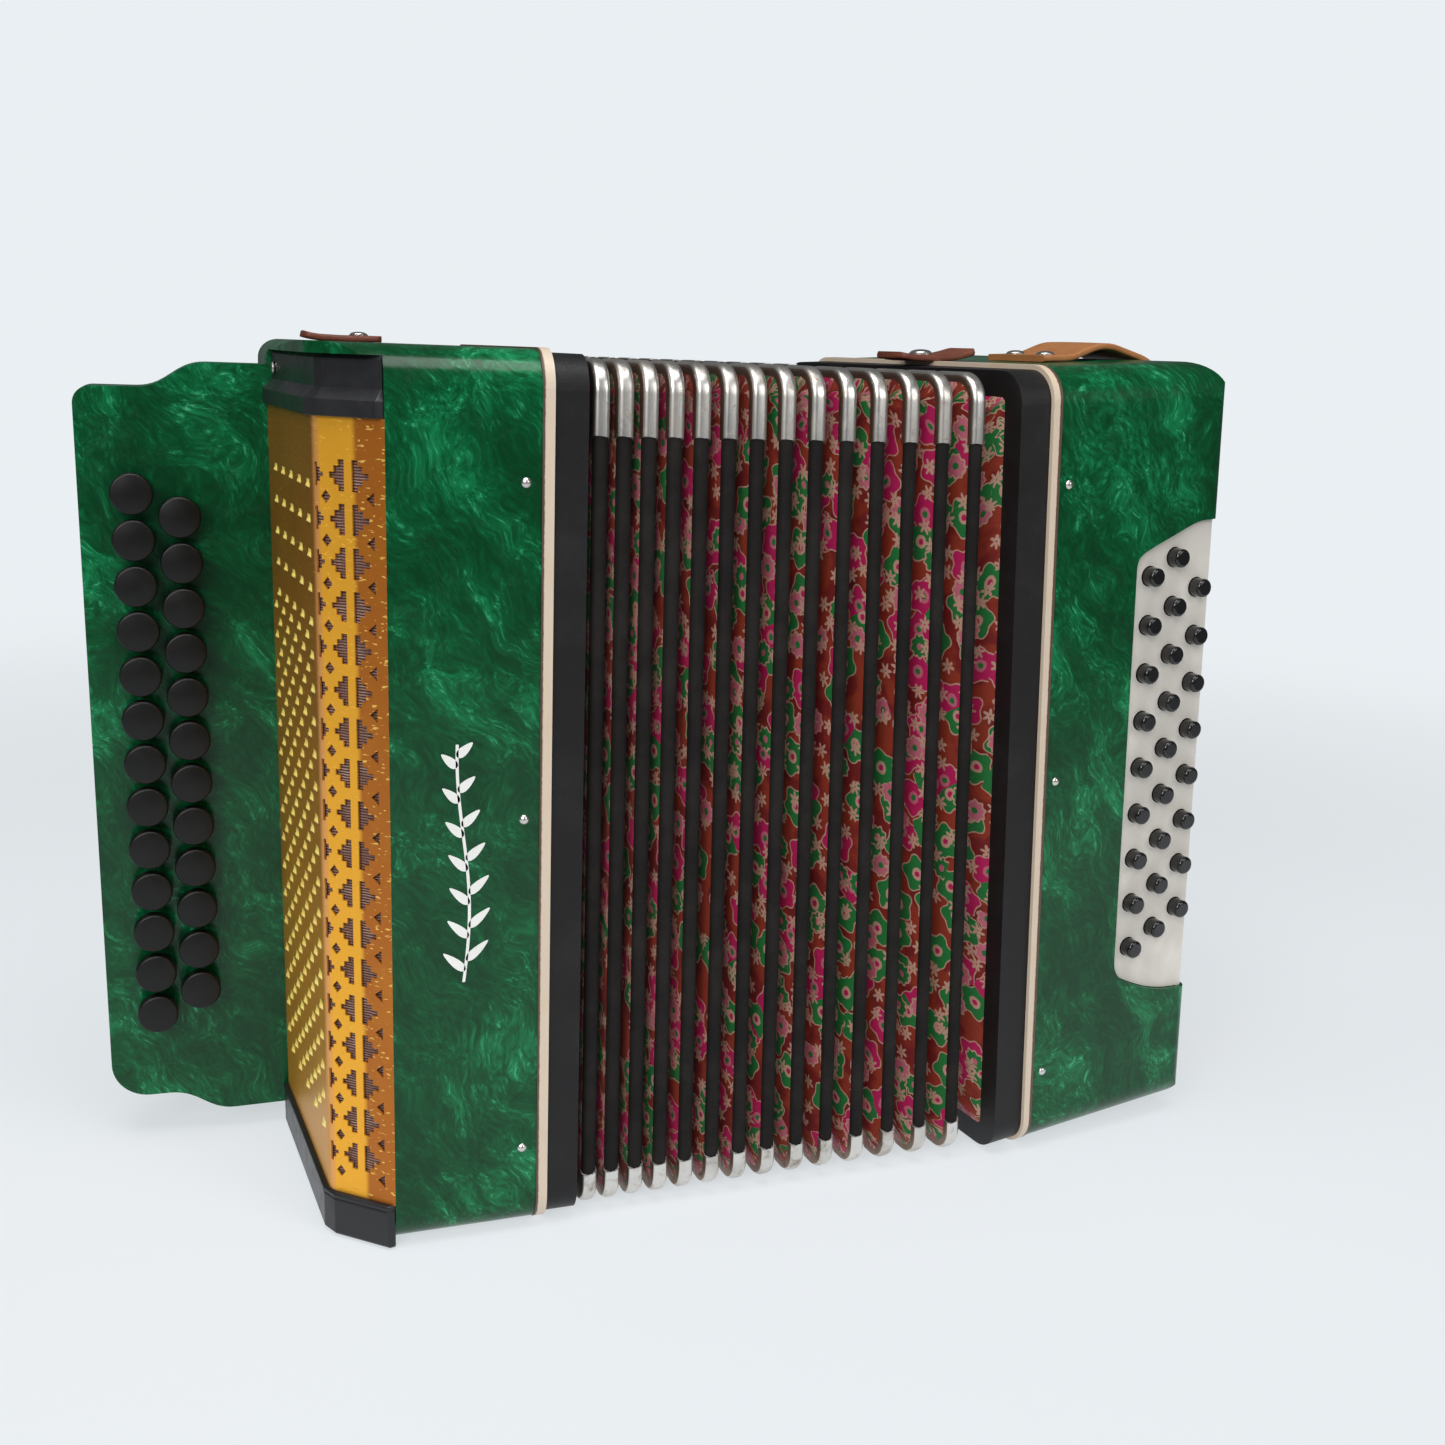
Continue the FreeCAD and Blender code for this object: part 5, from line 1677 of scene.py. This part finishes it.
@dataclass
class Leathers:
    """The hand strap, the closing strap's tab and the strap end on the treble case."""

    fan: Fan
    tan: bpy.types.Material
    brown: bpy.types.Material
    steel: bpy.types.Material
    width: float = 90.0 * MM
    height: float = 340.0 * MM
    case_start: float = 19.1 * MM
    strap_width: float = 38.0 * MM
    strap_thickness: float = 2.6 * MM
    strap_middle: float = 64.0 * MM
    anchor: float = 35.5 * MM
    bow: float = 24.0 * MM
    rise: float = 6.0 * MM
    lift: float = 0.3 * MM

    def hand_strap(self) -> None:
        """Make the hand strap and its rivets."""
        pose = self.fan.pose(self.fan.count + 1) @ Matrix.Translation((self.case_start, 0, 0))
        width, height, bow, anchor = self.width, self.height, self.bow, self.anchor
        corners = [(anchor - 8 * MM, height + self.lift), (anchor + 8 * MM, height + self.lift),
                   (anchor + 26 * MM, height + self.rise), (width + 4 * MM, height - 4 * MM),
                   (width + bow - 6 * MM, height - 46 * MM), (width + bow, height / 2 + 40 * MM),
                   (width + bow, height / 2 - 40 * MM), (width + bow - 5 * MM, 46 * MM),
                   (width + 1 * MM, -self.lift), (anchor + 6 * MM, -self.lift)]
        radii = [radius * MM for radius in (20, 24, 26, 60, 120, 120, 60, 18)]
        path = filleted(corners, radii, 2.5 * MM)
        strap = Strap("hand_strap_leather", path, self.strap_middle, self.strap_width,
                      self.strap_thickness, self.tan)
        strap.build(pose, "bass_case", "tan_leather", "hand_strap")
        up = pose.to_3x3() @ Vector((0, 0, 1))
        for i, across in enumerate((-10 * MM, 10 * MM)):
            foot = pose @ Vector((anchor, self.strap_middle + across,
                                  height + self.lift + self.strap_thickness - 0.2 * MM))
            dome(f"hand_strap_rivet_{i + 1}", foot, up, 4.2 * MM, 1.8 * MM, self.steel, "bass_case")

    def closing_tab(self) -> None:
        """Make the closing strap's tab, curling a little at its ends, with its press stud."""
        pose = self.fan.pose(self.fan.count + 1)
        base = self.height + 0.8 * MM
        path = []
        for i in range(33):
            share = i / 32
            curl = 1.6 * MM * max(0.0, (0.3 - share) / 0.3) ** 2
            curl += 2.2 * MM * max(0.0, (share - 0.62) / 0.38) ** 2
            path.append((-2.0 * MM + 40.0 * MM * share, base + curl))
        tab = Strap("closing_strap_leather", path, 90.0 * MM, 22.0 * MM, 2.6 * MM, self.brown,
                    cup=0.3 * MM, waviness=0.15 * MM, taper=0.18)
        tab.build(pose, "bass_case", "brown_leather", "closing_strap_tab")
        foot = pose @ Vector((15 * MM, 90 * MM, base + 2.5 * MM))
        up = pose.to_3x3() @ Vector((0, 0, 1))
        dome("closing_strap_stud", foot, up, 5.2 * MM, 2.2 * MM, self.steel, "bass_case")

    def strap_end(self) -> None:
        """Make the strap end on the treble case's upper end."""
        base = self.height + 0.1 * MM
        path = [(-47 * MM + 30 * MM * i / 24, base + 1.2 * MM * max(0.0, 1 - i / 7) ** 2)
                for i in range(25)]
        end = Strap("treble_strap_end", path, 6 * MM, 20 * MM, 2.4 * MM, self.brown,
                    cup=0.2 * MM, waviness=0.1 * MM, taper=0.3)
        end.build(Matrix.Identity(4), "treble_case", "brown_leather")
        foot = Vector((-25 * MM, 6 * MM, base + 2.3 * MM))
        dome("treble_strap_rivet", foot, Vector((0, 0, 1)), 3.6 * MM, 1.5 * MM, self.steel,
             "treble_case")

    def build(self) -> None:
        """Make every leather piece."""
        self.hand_strap()
        self.closing_tab()
        self.strap_end()
        log.info("leather: hand strap, closing tab and treble strap end")


@dataclass
class Sprig:
    """A plain inlaid sprig of leaves on the treble case's front."""

    white: bpy.types.Material
    x: float = -1.0 * MM
    front: float = -90.0 * MM
    low: float = 108.0 * MM
    high: float = 200.0 * MM
    pairs: int = 7
    proud: float = 0.2 * MM

    def prism(self, corners: Sequence[Pair], points: list[Vector], faces: list[tuple[int, ...]]) -> None:
        """Add a flat shape, standing proud of the front.

        Args:
            corners: Its (x, z) outline.
            points: The mesh's points, added to.
            faces: The mesh's faces, added to.
        """
        base, count = len(points), len(corners)
        for level in (-self.proud, 0.3 * MM):
            points += [Vector((x, self.front + level, z)) for x, z in corners]
        faces.append(tuple(base + i for i in range(count)))
        faces.append(tuple(base + count + i for i in reversed(range(count))))
        faces += [(base + i, base + (i + 1) % count, base + count + (i + 1) % count, base + count + i)
                  for i in range(count)]

    def stem(self, share: float) -> Pair:
        """Return the stem's place at a share of its height."""
        return (self.x + 2.2 * MM * math.sin(share * math.pi * 1.6),
                self.low + (self.high - self.low) * share)

    def build(self) -> None:
        """Make the sprig."""
        points: list[Vector] = []
        faces: list[tuple[int, ...]] = []
        wide = 0.55 * MM
        line = [self.stem(i / 24) for i in range(25)]
        self.prism([(x - wide, z) for x, z in line] + [(x + wide, z) for x, z in reversed(line)],
                   points, faces)
        for i in range(self.pairs):
            for way in (-1, 1):
                x, z = self.stem((i + 0.35 + 0.3 * (way > 0)) / self.pairs)
                length = (11.0 - 0.55 * i) * MM
                angle = math.radians(48)
                along = Vector((way * math.sin(angle), math.cos(angle)))
                side = Vector((along.y, -along.x))
                outline = []
                for j in range(20):
                    turn = 2 * math.pi * j / 20
                    reach = length * (0.5 - 0.5 * math.cos(turn))
                    spread = 2.1 * MM * math.sin(turn) * (0.75 + 0.35 * math.cos(turn))
                    spot = Vector((x, z)) + along * reach + side * spread
                    outline.append((spot.x, spot.y))
                self.prism(outline, points, faces)
        piece = mesh_piece("inlaid_sprig", points, faces, self.white, smooth=False, sharp=None)
        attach(piece, "treble_case")
        log.info("ornament: inlaid sprig with %d pairs of leaves", self.pairs)


# ------------------------------------------------------------------ the stage

@dataclass(frozen=True)
class Lamp:
    """An area light that faces the studio's middle."""

    name: str
    place: Colour
    size: Pair
    watts: float


@dataclass
class Studio:
    """The pale sweep that the instrument stands on, its lights and the camera."""

    backdrop: Colour = (0.825, 0.865, 0.895)
    camera_place: Colour = (-93.6 * MM, -629.8 * MM, 340.6 * MM)
    yaw: float = math.radians(19.56)
    pitch: float = math.radians(13.43)
    roll: float = math.radians(2.14)
    lens: float = 38.42
    glow: float = 0.13
    floor_glow: float = 0.68
    centre: Colour = (0.08, 0.0, 0.17)
    floor_middle: Colour = (0.1, 0.0, 0.0)
    floor_reach: float = 1.6
    fade_from: float = 0.55
    fade_to: float = 1.5
    lamps: tuple[Lamp, ...] = (Lamp("overhead", (-0.1, -0.35, 1.5), (1.3, 0.7), 14.0),
                               Lamp("front_left", (-1.3, -2.0, 1.5), (1.6, 1.2), 40.0),
                               Lamp("front_right", (1.5, -2.0, 1.2), (1.0, 1.2), 14.0))

    def floor(self) -> None:
        """Make the pale floor, which fades into the backdrop."""
        nodes = Nodes("studio_floor")
        place = nodes.place()
        grain = nodes.noise(place, 3.0, 2.0)[0]
        shade = nodes.mix(grain * 0.1, (0.265, 0.275, 0.285), (0.255, 0.265, 0.275))
        away = nodes.vector("LENGTH", nodes.vector("SUBTRACT", place, self.floor_middle))
        material = nodes.finish({"Base Color": shade, "Roughness": 0.9, "Specular IOR Level": 0.1,
                                 "Emission Color": (*self.backdrop, 1.0),
                                 "Emission Strength": self.floor_glow,
                                 "Alpha": away.step(self.fade_to, self.fade_from)})
        reach = self.floor_reach
        corners = [(-reach, -reach), (reach, -reach), (reach, reach), (-reach, reach)]
        floor = mesh_piece("studio_floor", [(x, y, -0.3 * MM) for x, y in corners], [(0, 1, 2, 3)],
                           material, smooth=False, sharp=None)

    def light(self, spec: Lamp) -> None:
        """Add an area light.

        Args:
            spec: What the light is like.
        """
        data = bpy.data.lights.new(spec.name, "AREA")
        data.shape = "RECTANGLE"
        data.size, data.size_y = spec.size
        data.energy = spec.watts
        lamp = link_new(spec.name, data)
        lamp.location = spec.place
        lamp.rotation_mode = "QUATERNION"
        ahead = Vector(self.centre) - Vector(spec.place)
        lamp.rotation_quaternion = ahead.to_track_quat("-Z", "Y")

    def world(self) -> None:
        """Set the surroundings: pale where the camera looks, dimmer as a light."""
        nodes = Nodes("studio", world=True)
        seen = nodes.add("ShaderNodeLightPath")[0]
        strength = nodes.add("ShaderNodeMapRange", None,
                             {"Value": seen, "To Min": self.glow, "To Max": 1.0})[0]
        background = nodes.add("ShaderNodeBackground", None,
                               {"Color": (*self.backdrop, 1.0), "Strength": strength})[0]
        nodes.add("ShaderNodeOutputWorld", None, {"Surface": background})
        bpy.context.scene.world = nodes.owner

    def camera(self) -> None:
        """Add the camera."""
        yaw, pitch, roll = self.yaw, self.pitch, self.roll
        level = math.cos(pitch)
        ahead = Vector((math.sin(yaw) * level, math.cos(yaw) * level, -math.sin(pitch)))
        right = Vector((math.cos(yaw), -math.sin(yaw), 0.0))
        up = right.cross(ahead)
        right_rolled = right * math.cos(roll) + up * math.sin(roll)
        up_rolled = up * math.cos(roll) - right * math.sin(roll)
        data = bpy.data.cameras.new("camera")
        data.sensor_width = 36.0
        data.lens = self.lens
        data.clip_start, data.clip_end = 0.02, 100.0
        camera = link_new("camera", data)
        turn = Matrix((right_rolled, up_rolled, -ahead)).transposed().to_4x4()
        camera.matrix_world = Matrix.Translation(self.camera_place) @ turn
        bpy.context.scene.camera = camera

    def build(self) -> None:
        """Make the whole studio."""
        self.floor()
        self.world()
        for spec in self.lamps:
            self.light(spec)
        self.camera()
        bpy.context.scene.view_settings.view_transform = "Standard"
        log.info("studio: floor, %d lights and the camera", len(self.lamps))


# --------------------------------------------------------------------- build

def bass_across(fan: Fan) -> tuple[Colour, float]:
    """Return the bass section's own X as a direction, and its zero along it in the row frame."""
    pose = fan.pose(fan.count + 1)
    across = pose.to_3x3() @ Vector((1, 0, 0))
    return tuple(across), across.dot(pose.translation)


def paint_nodes(fan: Fan, nickel: bpy.types.Material) -> None:
    """Give every CAD node that stays in view its finish.

    Args:
        fan: The bellows' opening, which places the bass side.
        nickel: The pins' finish.
    """
    pearl = Pearloid().material()
    leatherette = Leather(Finish.LEATHERETTE.value, (0.0080, 0.0072, 0.0078), (0.0200, 0.0185, 0.0200),
                          1300.0, 0.06 * MM, 0.44, 0.3).material()
    wood = Wood().material()
    panel = Gloss(Finish.PANEL.value, (0.62, 0.585, 0.53), 0.42).material()
    button = Gloss(Finish.BUTTON.value, (0.006, 0.006, 0.006), 0.12, 0.4).material()
    across, zero = bass_across(fan)
    finishes = {
        "treble_edge_strip": EdgeStrip("cream_treble", 27.3 * MM, (1.0, 0.0, 0.0)).material(),
        "bass_edge_strip": EdgeStrip("cream_bass", zero + 19.1 * MM, across).material(),
        "treble_case": pearl, "fingerboard": pearl, "bass_case": pearl,
        "treble_bellows_frame": leatherette, "bass_bellows_frame": leatherette,
        "treble_action_unit": wood, "bass_action_unit": wood,
        "treble_pins": nickel, "bass_pins": nickel, "bass_button_panel": panel,
    }
    for row in ("inner", "middle", "outer"):
        finishes[f"bass_buttons_{row}_row"] = button
    pallet_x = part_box("treble_key_01")[1].x - 14 * MM
    key = KeyFinish(board_back=29 * MM, pallet_x=pallet_x).material()
    for number in range(1, 26):
        finishes[f"treble_key_{number:02d}"] = key
    for node, finish in finishes.items():
        paint(node, finish)
    log.info("finishes: %d nodes painted", len(finishes))


def main() -> None:
    """Dress the instrument and set the studio."""
    logging.basicConfig(level=logging.INFO, format="%(name)s: %(message)s")
    fan = Fan()
    nickel = Metal(Finish.NICKEL.value, (0.72, 0.70, 0.66), (0.30, 0.27, 0.22), 0.2).material()
    guard = Metal("guard_tinplate", (0.74, 0.72, 0.68), (0.24, 0.17, 0.12), 0.27, 0.9).material()
    paint_nodes(fan, nickel)
    # Painted shade: the guards' side faces get this darker, browner copy of the metal.
    flank = Metal("guard_flank_painted_shade", (0.30, 0.22, 0.17), (0.12, 0.075, 0.05), 0.38, 0.9).material()
    Bellows(fan, BellowsTape().material(), guard, flank, FloralSatin().material()).build()
    # Painted glint: the louvres get a brighter yellow than the gilt sheet.
    glint = Gloss("gilt_lips_painted_glint", (1.0, 0.72, 0.17), 0.28, 0.3).material()
    Grille(GiltSheet().material(), glint, GrilleWeave().material()).build()
    cap = Gloss(Finish.CAP.value, (0.014, 0.014, 0.016), 0.34).material()
    EndCaps(cap, nickel).build()
    tan = Leather(Finish.TAN.value, (0.42, 0.17, 0.055), (0.24, 0.085, 0.030), 1100.0).material()
    brown = Leather(Finish.BROWN.value, (0.14, 0.036, 0.018), (0.26, 0.085, 0.045), 1000.0).material()
    Leathers(fan, tan, brown, nickel).build()
    Sprig(Gloss("inlay_white", (0.80, 0.80, 0.76), 0.35).material()).build()
    Studio().build()


if __name__ == "__main__":
    main()
